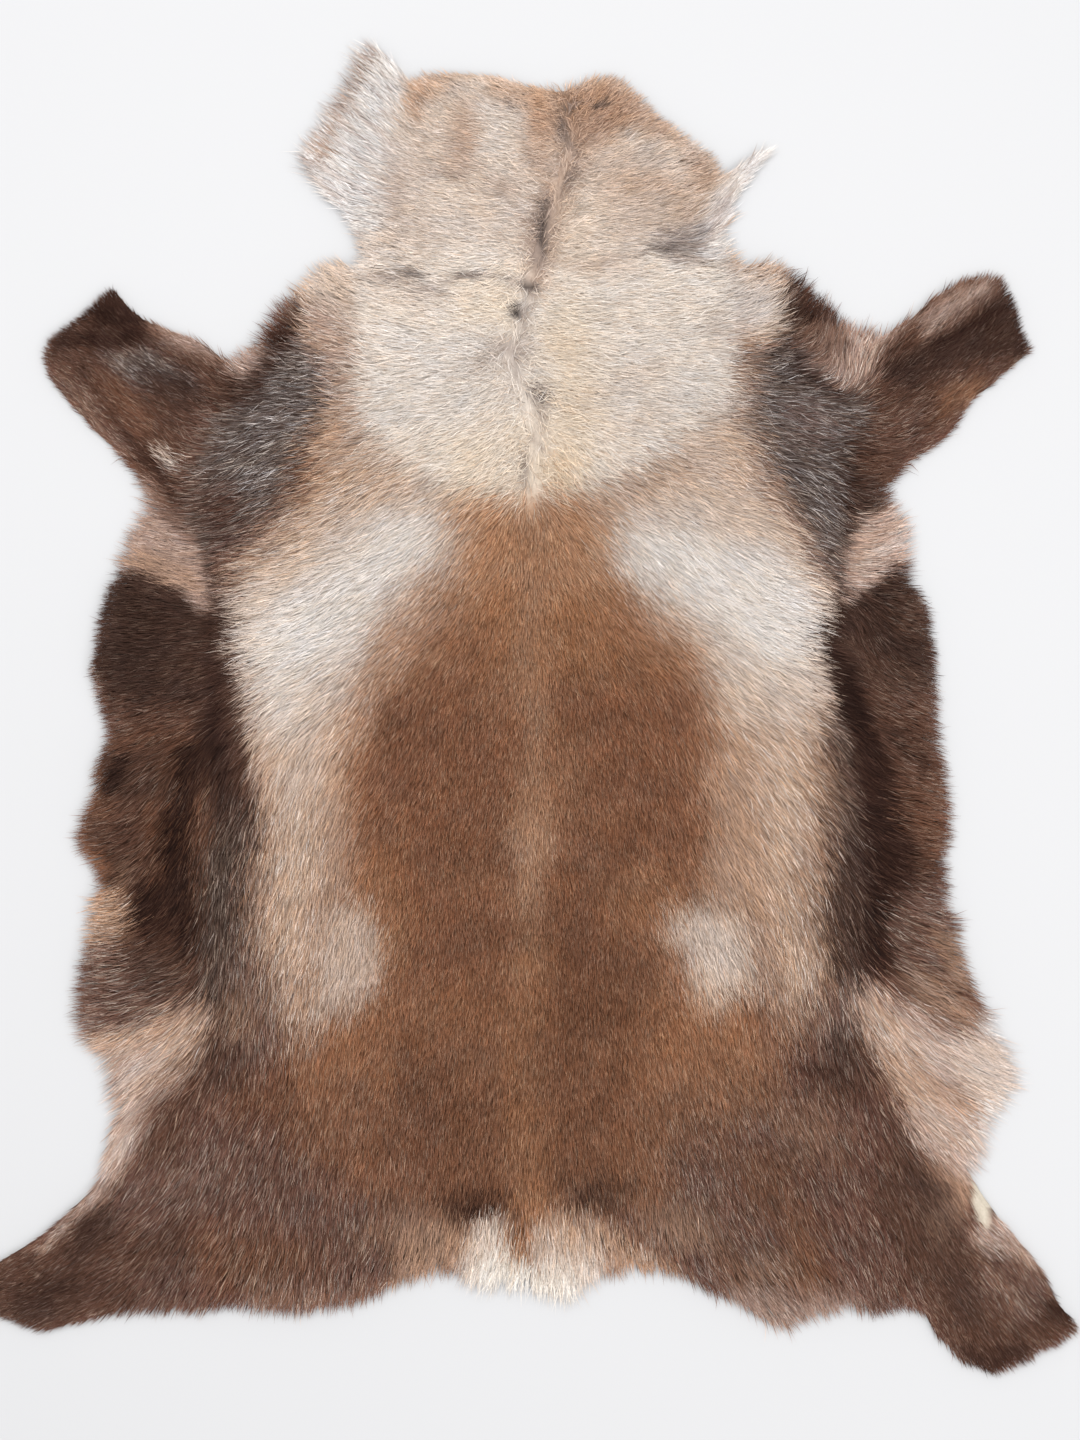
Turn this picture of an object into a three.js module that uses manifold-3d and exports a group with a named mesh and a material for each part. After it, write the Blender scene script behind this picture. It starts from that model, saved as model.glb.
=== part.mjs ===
// Reindeer hide, one whole skin with its winter coat on, laid flat with the hair up.
// Millimetres. +Y runs from the rump to the head, +X is the animal's right as it lies here, +Z is up off the floor.
// The origin is under the middle of the hide. The flesh side is flat on z = 0, and the upper face is the top of the coat.
// A hide is cut from one piece with nothing sewn on, so it is one solid: a flat outline, and a coat whose height changes
// with the length of the hair and with the folds the skin dried in.
import * as THREE from "three";
import { mergeVertices } from "three/addons/utils/BufferGeometryUtils.js";
import Module from "manifold-3d";

// Driving sizes
const LENGTH = 1334; // ear tip to the longer hind leg, along Y
const WIDTH = 1101; // hind foot to hind foot, along X
const COAT = 23; // skin and hair together over the back
const EDGE = 6; // skin and hair together at the cut edge
const RIM = 34; // how far in from the edge the coat reaches its full height
const LEAST = 4; // nowhere thinner than this
const CELL = 20; // width of the facets of the upper face
const TALL = 120; // depth of the outline before the coat's height cuts it down

// The outline is a union of strips. A strip runs from x, y along its heading (degrees from +X), and each row is a section:
// how far along it is, and how far the skin reaches to the left and to the right of the line there.
const STRIPS = [
  {
    part: "trunk",
    x: 0,
    y: 0,
    heading: 90,
    rows: [
      { at: -492, left: 431, right: 459 },
      { at: -478, left: 429, right: 451 },
      { at: -463, left: 424, right: 445 },
      { at: -439, left: 418, right: 454 },
      { at: -402, left: 410, right: 465 },
      { at: -387, left: 408, right: 479 },
      { at: -374, left: 418, right: 486 },
      { at: -358, left: 415, right: 484 },
      { at: -345, left: 422, right: 480 },
      { at: -337, left: 442, right: 478 },
      { at: -319, left: 446, right: 471 },
      { at: -296, left: 448, right: 462 },
      { at: -273, left: 448, right: 450 },
      { at: -250, left: 446, right: 442 },
      { at: -227, left: 442, right: 434 },
      { at: -204, left: 436, right: 430 },
      { at: -190, left: 438, right: 423 },
      { at: -172, left: 428, right: 423 },
      { at: -158, left: 434, right: 421 },
      { at: -148, left: 444, right: 419 },
      { at: -137, left: 448, right: 421 },
      { at: -121, left: 446, right: 425 },
      { at: -104, left: 442, right: 426 },
      { at: -94, left: 436, right: 424 },
      { at: -75, left: 432, right: 421 },
      { at: -53, left: 430, right: 418 },
      { at: -34, left: 422, right: 416 },
      { at: -17, left: 420, right: 414 },
      { at: 15, left: 430, right: 414 },
      { at: 40, left: 436, right: 412 },
      { at: 68, left: 430, right: 408 },
      { at: 92, left: 426, right: 405 },
      { at: 119, left: 420, right: 395 },
      { at: 138, left: 408, right: 384 },
      { at: 153, left: 402, right: 383 },
      { at: 168, left: 395, right: 388 },
      { at: 183, left: 388, right: 382 },
      { at: 198, left: 383, right: 373 },
      { at: 218, left: 384, right: 364 },
      { at: 243, left: 376, right: 360 },
      { at: 308, left: 327, right: 350 },
      { at: 348, left: 294, right: 342 },
      { at: 370, left: 272, right: 337 },
      { at: 384, left: 262, right: 322 },
      { at: 400, left: 251, right: 308 },
      { at: 414, left: 237, right: 293 },
      { at: 427, left: 225, right: 281 },
      { at: 437, left: 211, right: 264 },
      { at: 449, left: 195, right: 246 },
    ],
  },
  {
    part: "neck and head",
    x: 0,
    y: 0,
    heading: 90,
    rows: [
      { at: 408, left: 176, right: 239 },
      { at: 433, left: 165, right: 234 },
      { at: 446, left: 166, right: 218 },
      { at: 460, left: 167, right: 205 },
      { at: 473, left: 170, right: 199 },
      { at: 493, left: 168, right: 196 },
      { at: 518, left: 164, right: 195 },
      { at: 548, left: 158, right: 192 },
      { at: 563, left: 154, right: 176 },
      { at: 581, left: 148, right: 152 },
      { at: 598, left: 140, right: 131 },
      { at: 613, left: 131, right: 116 },
    ],
  },
  {
    part: "crown, cut square across with a dip over the parting",
    x: 0,
    y: 560,
    heading: 0,
    rows: [
      { at: -131, left: 53, right: 20 },
      { at: -120, left: 64, right: 20 },
      { at: -111, left: 71, right: 20 },
      { at: -84, left: 77, right: 20 },
      { at: -57, left: 76, right: 20 },
      { at: -33, left: 72, right: 20 },
      { at: -9, left: 67, right: 20 },
      { at: 12, left: 61, right: 20 },
      { at: 32, left: 61, right: 20 },
      { at: 50, left: 65, right: 20 },
      { at: 76, left: 71, right: 20 },
      { at: 94, left: 69, right: 20 },
      { at: 116, left: 53, right: 20 },
    ],
  },
  {
    part: "ear flap",
    x: -225.5,
    y: 543,
    heading: 61.3,
    rows: [
      { at: -45, left: -91, right: 141 },
      { at: -32, left: -73, right: 141 },
      { at: -20, left: -43, right: 141 },
      { at: 0, left: 0, right: 138 },
      { at: 17, left: 3, right: 131 },
      { at: 36, left: 1, right: 124 },
      { at: 60, left: 0, right: 114 },
      { at: 100, left: 0, right: 88 },
      { at: 115, left: -3, right: 75 },
      { at: 131, left: -1, right: 57 },
      { at: 137, left: -1, right: 36 },
      { at: 143, left: 0, right: 22 },
    ],
  },
  {
    part: "ear lock",
    x: 196.5,
    y: 482,
    heading: 58,
    rows: [
      { at: -10, left: 24, right: 11 },
      { at: 0, left: 25, right: 0 },
      { at: 14, left: 30, right: -2 },
      { at: 24, left: 33, right: -3 },
      { at: 40, left: 37, right: -2 },
      { at: 56, left: 31, right: -1 },
      { at: 72, left: 16, right: 3 },
      { at: 88, left: 6, right: 3 },
      { at: 96, left: 2, right: 2 },
    ],
  },
  {
    part: "right fore leg",
    x: 334.5,
    y: 288,
    heading: 34.6,
    rows: [
      { at: -60, left: 133, right: 95 },
      { at: -20, left: 133, right: 77 },
      { at: 10, left: 133, right: 65 },
      { at: 40, left: 91, right: 62 },
      { at: 60, left: 64, right: 61 },
      { at: 72, left: 62, right: 58 },
      { at: 88, left: 59, right: 52 },
      { at: 105, left: 58, right: 44 },
      { at: 120, left: 60, right: 46 },
      { at: 136, left: 59, right: 41 },
      { at: 150, left: 57, right: 41 },
      { at: 168, left: 54, right: 41 },
      { at: 178, left: 50, right: 41 },
      { at: 182, left: 48, right: 19 },
      { at: 189, left: 46, right: 3 },
      { at: 193, left: 44, right: -15 },
      { at: 197, left: 43, right: -39 },
    ],
  },
  {
    part: "left fore leg",
    x: -290.5,
    y: 278,
    heading: 148,
    rows: [
      { at: -60, left: 129, right: 119 },
      { at: -10, left: 119, right: 119 },
      { at: 20, left: 109, right: 88 },
      { at: 42, left: 102, right: 59 },
      { at: 60, left: 93, right: 58 },
      { at: 80, left: 82, right: 57 },
      { at: 100, left: 77, right: 52 },
      { at: 118, left: 74, right: 49 },
      { at: 132, left: 69, right: 47 },
      { at: 146, left: 65, right: 46 },
      { at: 160, left: 61, right: 51 },
      { at: 170, left: 57, right: 56 },
      { at: 176, left: 55, right: 59 },
      { at: 184, left: 51, right: 42 },
      { at: 190, left: 47, right: 21 },
      { at: 198, left: 40, right: 0 },
      { at: 202, left: 32, right: -9 },
      { at: 205, left: 19, right: -15 },
    ],
  },
  {
    part: "left hind leg",
    x: 0,
    y: -492,
    heading: 0,
    rows: [
      { at: -550, left: -80, right: 109 },
      { at: -534, left: -64, right: 114 },
      { at: -514, left: -52, right: 120 },
      { at: -494, left: -40, right: 126 },
      { at: -478, left: -29, right: 130 },
      { at: -450, left: -3, right: 122 },
      { at: -432, left: 14, right: 119 },
      { at: -408, left: 50, right: 113 },
      { at: -376, left: 50, right: 111 },
      { at: -322, left: 50, right: 113 },
      { at: -290, left: 50, right: 109 },
      { at: -258, left: 50, right: 113 },
      { at: -230, left: 50, right: 115 },
      { at: -204, left: 50, right: 111 },
      { at: -170, left: 50, right: 103 },
      { at: -142, left: 50, right: 93 },
      { at: -124, left: 50, right: 84 },
      { at: -96, left: 50, right: 74 },
    ],
  },
  {
    part: "rump with the tail tufts",
    x: 0,
    y: -492,
    heading: 0,
    rows: [
      { at: -100, left: 50, right: 75 },
      { at: -73, left: 50, right: 71 },
      { at: -68, left: 50, right: 90 },
      { at: -64, left: 50, right: 77 },
      { at: -58, left: 50, right: 106 },
      { at: -52, left: 50, right: 81 },
      { at: -38, left: 50, right: 82 },
      { at: -24, left: 50, right: 86 },
      { at: -14, left: 50, right: 82 },
      { at: 2, left: 50, right: 92 },
      { at: 8, left: 50, right: 88 },
      { at: 14, left: 50, right: 116 },
      { at: 22, left: 50, right: 90 },
      { at: 30, left: 50, right: 96 },
      { at: 38, left: 50, right: 122 },
      { at: 46, left: 50, right: 94 },
      { at: 54, left: 50, right: 92 },
      { at: 60, left: 50, right: 106 },
      { at: 68, left: 50, right: 79 },
      { at: 84, left: 50, right: 72 },
    ],
  },
  {
    part: "right hind leg",
    x: 0,
    y: -492,
    heading: 0,
    rows: [
      { at: 80, left: 50, right: 72 },
      { at: 110, left: 50, right: 70 },
      { at: 142, left: 50, right: 72 },
      { at: 158, left: 50, right: 80 },
      { at: 190, left: 50, right: 95 },
      { at: 208, left: 50, right: 103 },
      { at: 234, left: 50, right: 117 },
      { at: 254, left: 50, right: 126 },
      { at: 296, left: 50, right: 116 },
      { at: 318, left: 50, right: 108 },
      { at: 354, left: 50, right: 116 },
      { at: 374, left: 50, right: 108 },
      { at: 394, left: 50, right: 112 },
      { at: 404, left: 50, right: 126 },
      { at: 420, left: 50, right: 144 },
      { at: 432, left: 50, right: 158 },
      { at: 448, left: 19, right: 164 },
      { at: 458, left: 4, right: 174 },
      { at: 472, left: -15, right: 173 },
      { at: 494, left: -39, right: 165 },
      { at: 504, left: -53, right: 163 },
      { at: 514, left: -63, right: 152 },
      { at: 524, left: -82, right: 149 },
      { at: 532, left: -100, right: 146 },
      { at: 542, left: -111, right: 136 },
      { at: 550, left: -118, right: 129 },
    ],
  },
];

// Where the hair is longer or shorter than on the back: an oval, and the height of skin and hair together inside it.
const PILES = [
  { part: "head", x: 35, y: 545, halfX: 190, halfY: 130, coat: 17 },
  { part: "ear flap", x: -175, y: 568, halfX: 65, halfY: 80, coat: 9 },
  { part: "ear lock", x: 225, y: 520, halfX: 40, halfY: 60, coat: 9 },
  { part: "mane", x: 5, y: 308, halfX: 190, halfY: 130, coat: 27 },
  { part: "left fore leg", x: -400, y: 325, halfX: 110, halfY: 85, coat: 10 },
  { part: "right fore leg", x: 430, y: 348, halfX: 110, halfY: 80, coat: 10 },
  { part: "left belly", x: -390, y: -52, halfX: 60, halfY: 250, coat: 15 },
  { part: "right belly", x: 390, y: -62, halfX: 55, halfY: 290, coat: 14 },
  { part: "left groin", x: -375, y: -392, halfX: 60, halfY: 80, coat: 12 },
  { part: "right groin", x: 425, y: -382, halfX: 60, halfY: 80, coat: 12 },
  { part: "left foot", x: -455, y: -592, halfX: 110, halfY: 60, coat: 10 },
  { part: "right foot", x: 490, y: -602, halfX: 85, halfY: 95, coat: 10 },
  { part: "tail", x: 10, y: -560, halfX: 90, halfY: 45, coat: 13 },
];

// Folds and lumps, each a straight run from one end to the other with a half width and a rise at its middle.
const FOLDS = [
  { part: "left flank valley", x1: -395, y1: 268, x2: -350, y2: 200, half: 20, rise: -5 },
  { part: "left flank valley", x1: -350, y1: 200, x2: -313, y2: 68, half: 20, rise: -7 },
  { part: "left flank valley", x1: -313, y1: 68, x2: -325, y2: -52, half: 20, rise: -7 },
  { part: "left flank valley", x1: -325, y1: -52, x2: -338, y2: -200, half: 20, rise: -6 },
  { part: "left belly lump", x1: -385, y1: 96, x2: -392, y2: 50, half: 34, rise: 11 },
  { part: "left belly lump", x1: -372, y1: -40, x2: -385, y2: -70, half: 32, rise: 12 },
  { part: "left belly lump", x1: -398, y1: -115, x2: -380, y2: -140, half: 30, rise: 10 },
  { part: "left belly lump", x1: -400, y1: -262, x2: -385, y2: -300, half: 32, rise: 9 },
  { part: "left belly crease", x1: -425, y1: 10, x2: -362, y2: 12, half: 14, rise: -6 },
  { part: "left belly dimple", x1: -368, y1: -196, x2: -356, y2: -228, half: 20, rise: -8 },
  { part: "right flank valley", x1: 366, y1: 206, x2: 324, y2: 148, half: 20, rise: -6 },
  { part: "right flank valley", x1: 324, y1: 148, x2: 308, y2: 60, half: 20, rise: -7 },
  { part: "right flank valley", x1: 308, y1: 60, x2: 339, y2: -82, half: 20, rise: -7 },
  { part: "right flank valley", x1: 339, y1: -82, x2: 357, y2: -160, half: 18, rise: -6 },
  { part: "right flank hollow", x1: 352, y1: -222, x2: 340, y2: -285, half: 20, rise: -8 },
  { part: "right belly lump", x1: 362, y1: 100, x2: 368, y2: 62, half: 30, rise: 9 },
  { part: "right belly lump", x1: 380, y1: 0, x2: 386, y2: -40, half: 26, rise: 8 },
  { part: "right belly lump", x1: 396, y1: -80, x2: 400, y2: -112, half: 24, rise: 7 },
  { part: "right belly lump", x1: 398, y1: -180, x2: 408, y2: -270, half: 26, rise: 8 },
  { part: "neck crease", x1: -165, y1: 424, x2: -5, y2: 419, half: 16, rise: -8 },
  { part: "neck crease", x1: 20, y1: 424, x2: 150, y2: 460, half: 16, rise: -5 },
  { part: "parting of the head", x1: 42, y1: 610, x2: 46, y2: 560, half: 18, rise: -6 },
  { part: "parting of the head", x1: 46, y1: 560, x2: 18, y2: 470, half: 18, rise: -7 },
  { part: "parting of the neck", x1: 18, y1: 470, x2: -12, y2: 340, half: 18, rise: -7 },
  { part: "parting of the neck", x1: -12, y1: 340, x2: 2, y2: 215, half: 16, rise: -5 },
  { part: "spine", x1: 2, y1: 150, x2: 6, y2: -460, half: 40, rise: 2 },
  { part: "tail", x1: 4, y1: -490, x2: 2, y2: -550, half: 16, rise: 5 },
  { part: "scar", x1: -56, y1: -72, x2: -18, y2: -74, half: 10, rise: -4 },
  { part: "right fore leg ridge", x1: 480, y1: 396, x2: 380, y2: 346, half: 16, rise: 6 },
  { part: "right fore leg ridge", x1: 488, y1: 352, x2: 400, y2: 300, half: 14, rise: 4 },
  { part: "right fore leg crease", x1: 490, y1: 374, x2: 392, y2: 322, half: 12, rise: -4 },
  { part: "left fore leg ridge", x1: -470, y1: 356, x2: -370, y2: 300, half: 16, rise: 5 },
  { part: "left fore leg ridge", x1: -418, y1: 404, x2: -330, y2: 352, half: 16, rise: 5 },
  { part: "left fore leg crease", x1: -446, y1: 380, x2: -350, y2: 322, half: 12, rise: -4 },
  { part: "right shin crease", x1: 412, y1: -478, x2: 486, y2: -620, half: 14, rise: -4 },
  { part: "right shin ridge", x1: 452, y1: -530, x2: 515, y2: -615, half: 16, rise: 5 },
  { part: "right hock crease", x1: 388, y1: -466, x2: 446, y2: -468, half: 12, rise: -4 },
  { part: "left shin crease", x1: -322, y1: -380, x2: -415, y2: -486, half: 16, rise: -4 },
  { part: "left shin ridge", x1: -380, y1: -520, x2: -500, y2: -588, half: 18, rise: 4 },
];

const wasm = await Module();
wasm.setup();

// A closed geometry as a solid that can be joined and cut.
function solidOf(geometry) {
  const bare = geometry.index ? geometry.toNonIndexed() : geometry.clone();
  for (const name of Object.keys(bare.attributes)) if (name !== "position") bare.deleteAttribute(name);
  const merged = mergeVertices(bare, 1e-3);
  return new wasm.Manifold(
    new wasm.Mesh({
      numProp: 3,
      vertProperties: merged.attributes.position.array,
      triVerts: new Uint32Array(merged.index.array),
    }),
  );
}

// And a solid as a geometry again.
function geometryOf(solid) {
  const mesh = solid.getMesh();
  const position = new Float32Array(mesh.numVert * 3);
  for (let i = 0; i < mesh.numVert; i++)
    position.set(mesh.vertProperties.subarray(i * mesh.numProp, i * mesh.numProp + 3), i * 3);
  const geometry = new THREE.BufferGeometry();
  geometry.setAttribute("position", new THREE.BufferAttribute(position, 3));
  geometry.setIndex(new THREE.BufferAttribute(new Uint32Array(mesh.triVerts), 1));
  return mergeVertices(geometry, 1e-3);
}

// A strip cut right through: out along its right side and back along its left one, as deep as TALL.
function stripGeometry({ x, y, heading, rows }) {
  const turn = THREE.MathUtils.degToRad(heading);
  const place = (at, side) => new THREE.Vector2(at, side).rotateAround(new THREE.Vector2(), turn).add(new THREE.Vector2(x, y));
  const right = rows.map((row) => place(row.at, -row.right));
  const left = rows.map((row) => place(row.at, row.left)).reverse();
  return new THREE.ExtrudeGeometry(new THREE.Shape([...right, ...left]), { depth: TALL, bevelEnabled: false });
}

// The whole outline, at exactly the driving length and width and with its middle over the origin.
function outlineGeometry() {
  const joined = geometryOf(STRIPS.map((strip) => solidOf(stripGeometry(strip))).reduce((a, b) => a.add(b)));
  joined.computeBoundingBox();
  const { min, max } = joined.boundingBox;
  return joined
    .translate(-(min.x + max.x) / 2, -(min.y + max.y) / 2, 0)
    .scale(WIDTH / (max.x - min.x), LENGTH / (max.y - min.y), 1);
}

// The cut edge as straight runs on the floor: the edges that only one triangle of the flesh side has.
function cutEdge(outline) {
  const { position } = outline.attributes;
  const index = outline.index.array;
  const open = new Map();
  for (let t = 0; t < index.length; t += 3) {
    const corners = [index[t], index[t + 1], index[t + 2]];
    if (corners.some((v) => position.getZ(v) > TALL / 2)) continue;
    corners.forEach((a, k) => {
      const b = corners[(k + 1) % 3];
      const key = a < b ? a + "," + b : b + "," + a;
      if (!open.delete(key)) open.set(key, [a, b]);
    });
  }
  return [...open.values()].map(([a, b]) => ({
    x1: position.getX(a),
    y1: position.getY(a),
    x2: position.getX(b),
    y2: position.getY(b),
  }));
}

// Distance from x, y to a straight run.
function runDistance(x, y, { x1, y1, x2, y2 }) {
  const dx = x2 - x1;
  const dy = y2 - y1;
  const t = THREE.MathUtils.clamp(((x - x1) * dx + (y - y1) * dy) / Math.max(dx * dx + dy * dy, 1e-9), 0, 1);
  return Math.hypot(x - x1 - t * dx, y - y1 - t * dy);
}

// How far x, y lies in from the cut edge, or 0 outside it.
function depthInside(edge, x, y) {
  let odd = false;
  let least = Infinity;
  for (const run of edge) {
    const { x1, y1, x2, y2 } = run;
    if (y1 > y !== y2 > y && x < x1 + ((y - y1) * (x2 - x1)) / (y2 - y1)) odd = !odd;
    least = Math.min(least, runDistance(x, y, run));
  }
  return odd ? least : 0;
}

// Height of the top of the coat over x, y.
function coatHeight(edge, x, y) {
  let sum = COAT * 0.35;
  let weight = 0.35;
  for (const p of PILES) {
    const w = 3 * Math.exp(-1.4 * (((x - p.x) / p.halfX) ** 2 + ((y - p.y) / p.halfY) ** 2));
    sum += w * p.coat;
    weight += w;
  }
  const full = sum / weight;
  const depth = depthInside(edge, x, y);
  const rim = Math.sin((Math.min(depth / RIM, 1) * Math.PI) / 2);
  let height = EDGE + (full - EDGE) * rim;
  for (const fold of FOLDS) {
    const off = runDistance(x, y, fold) / fold.half;
    height += fold.rise * Math.exp(-off * off) * Math.min(1, 0.25 + depth / RIM);
  }
  return Math.max(height, LEAST);
}

// A block over the whole hide whose top follows the coat and whose foot is under the floor.
function coatGeometry(edge) {
  const across = Math.ceil(WIDTH / CELL) + 2;
  const along = Math.ceil(LENGTH / CELL) + 2;
  const block = new THREE.BoxGeometry(across * CELL, along * CELL, 2, across, along, 1);
  const { position } = block.attributes;
  for (let i = 0; i < position.count; i++)
    position.setZ(i, position.getZ(i) > 0 ? coatHeight(edge, position.getX(i), position.getY(i)) : -10);
  return block;
}

const outline = outlineGeometry();
const coat = solidOf(outline).intersect(solidOf(coatGeometry(cutEdge(outline))));

const hide = new THREE.Mesh(
  geometryOf(coat),
  new THREE.MeshStandardMaterial({ name: "coat", color: "#7c5b46", roughness: 0.9, metalness: 0 }),
);
hide.geometry.computeVertexNormals();
hide.name = "hide";

const root = new THREE.Group();
root.name = "reindeer_hide";
root.add(hide);
export default root;
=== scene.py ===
import math

import bpy
import numpy as np
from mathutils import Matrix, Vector
from mathutils.bvhtree import BVHTree


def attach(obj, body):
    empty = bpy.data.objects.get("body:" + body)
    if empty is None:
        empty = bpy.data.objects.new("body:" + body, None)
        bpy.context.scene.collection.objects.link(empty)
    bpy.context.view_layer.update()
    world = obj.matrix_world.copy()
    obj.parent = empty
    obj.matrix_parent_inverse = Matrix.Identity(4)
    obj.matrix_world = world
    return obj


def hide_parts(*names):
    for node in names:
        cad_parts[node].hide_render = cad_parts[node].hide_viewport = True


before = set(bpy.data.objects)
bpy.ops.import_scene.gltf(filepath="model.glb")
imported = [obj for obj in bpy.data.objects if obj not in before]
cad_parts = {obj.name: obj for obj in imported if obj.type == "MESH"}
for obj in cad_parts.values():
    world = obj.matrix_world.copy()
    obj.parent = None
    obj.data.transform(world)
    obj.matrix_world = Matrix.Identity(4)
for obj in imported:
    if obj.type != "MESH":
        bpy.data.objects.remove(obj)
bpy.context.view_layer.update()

# A reindeer hide laid out flat, hair side up. The leather is one thin sheet, and the coat on it is
# laid hair by hair: each hair is rooted in the leather, rises, bends over and lies along the coat.
#
# The tables below are set out on a board of 1 mm squares, (across, down), with the hide's neck at
# the top. MID is the point of the board that lies over the frame's origin.
MID = (525.5, 708.0)

# ---- tones: the hair as it looks, the odd hairs among it, how many of them, how uneven it is ----
TONES = {
    "ivory": ((222, 211, 200), (206, 187, 170), 0.22, 0.6),
    "butter": ((228, 211, 189), (212, 190, 164), 0.20, 0.6),
    "chalk": ((218, 210, 203), (204, 190, 178), 0.20, 0.6),
    "snow": ((221, 213, 203), (200, 186, 170), 0.15, 0.5),
    "pearl": ((209, 202, 197), (180, 165, 157), 0.22, 0.6),
    "mauve": ((161, 136, 123), (190, 168, 156), 0.22, 0.9),
    "fawn": ((206, 190, 177), (184, 162, 145), 0.22, 0.8),
    "wheat": ((214, 192, 165), (188, 156, 126), 0.20, 0.8),
    "sand": ((196, 172, 153), (222, 208, 196), 0.25, 1.0),
    "tan": ((184, 154, 132), (214, 196, 182), 0.22, 1.0),
    "toffee": ((170, 137, 114), (130, 96, 76), 0.25, 1.0),
    "blush": ((180, 155, 141), (205, 188, 176), 0.25, 0.9),
    "fringe": ((181, 157, 143), (210, 194, 182), 0.28, 1.0),
    "spine": ((171, 132, 104), (194, 162, 134), 0.20, 0.9),
    "honey": ((179, 137, 106), (202, 166, 134), 0.20, 0.9),
    "ginger": ((162, 117, 86), (186, 147, 115), 0.20, 1.0),
    "chestnut": ((148, 105, 79), (176, 138, 110), 0.20, 1.0),
    "walnut": ((138, 96, 73), (166, 130, 105), 0.20, 1.0),
    "umber": ((121, 84, 64), (150, 116, 94), 0.18, 1.0),
    "bark": ((112, 82, 68), (164, 142, 127), 0.17, 1.0),
    "smoke": ((119, 93, 79), (170, 153, 140), 0.20, 1.0),
    "slate": ((106, 87, 79), (184, 174, 168), 0.22, 1.0),
    "leg": ((96, 70, 58), (140, 116, 102), 0.14, 0.8),
    "sable": ((70, 51, 43), (104, 84, 73), 0.12, 0.8),
    "peat": ((54, 35, 28), (82, 58, 48), 0.10, 0.8),
    "pitch": ((44, 28, 22), (70, 50, 42), 0.10, 0.7),
    "soot": ((62, 54, 52), (120, 106, 98), 0.15, 0.8),
    "ash": ((140, 124, 116), (86, 74, 70), 0.30, 1.0),
    "dusk": ((90, 70, 60), (154, 135, 122), 0.16, 0.9),
}

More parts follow.
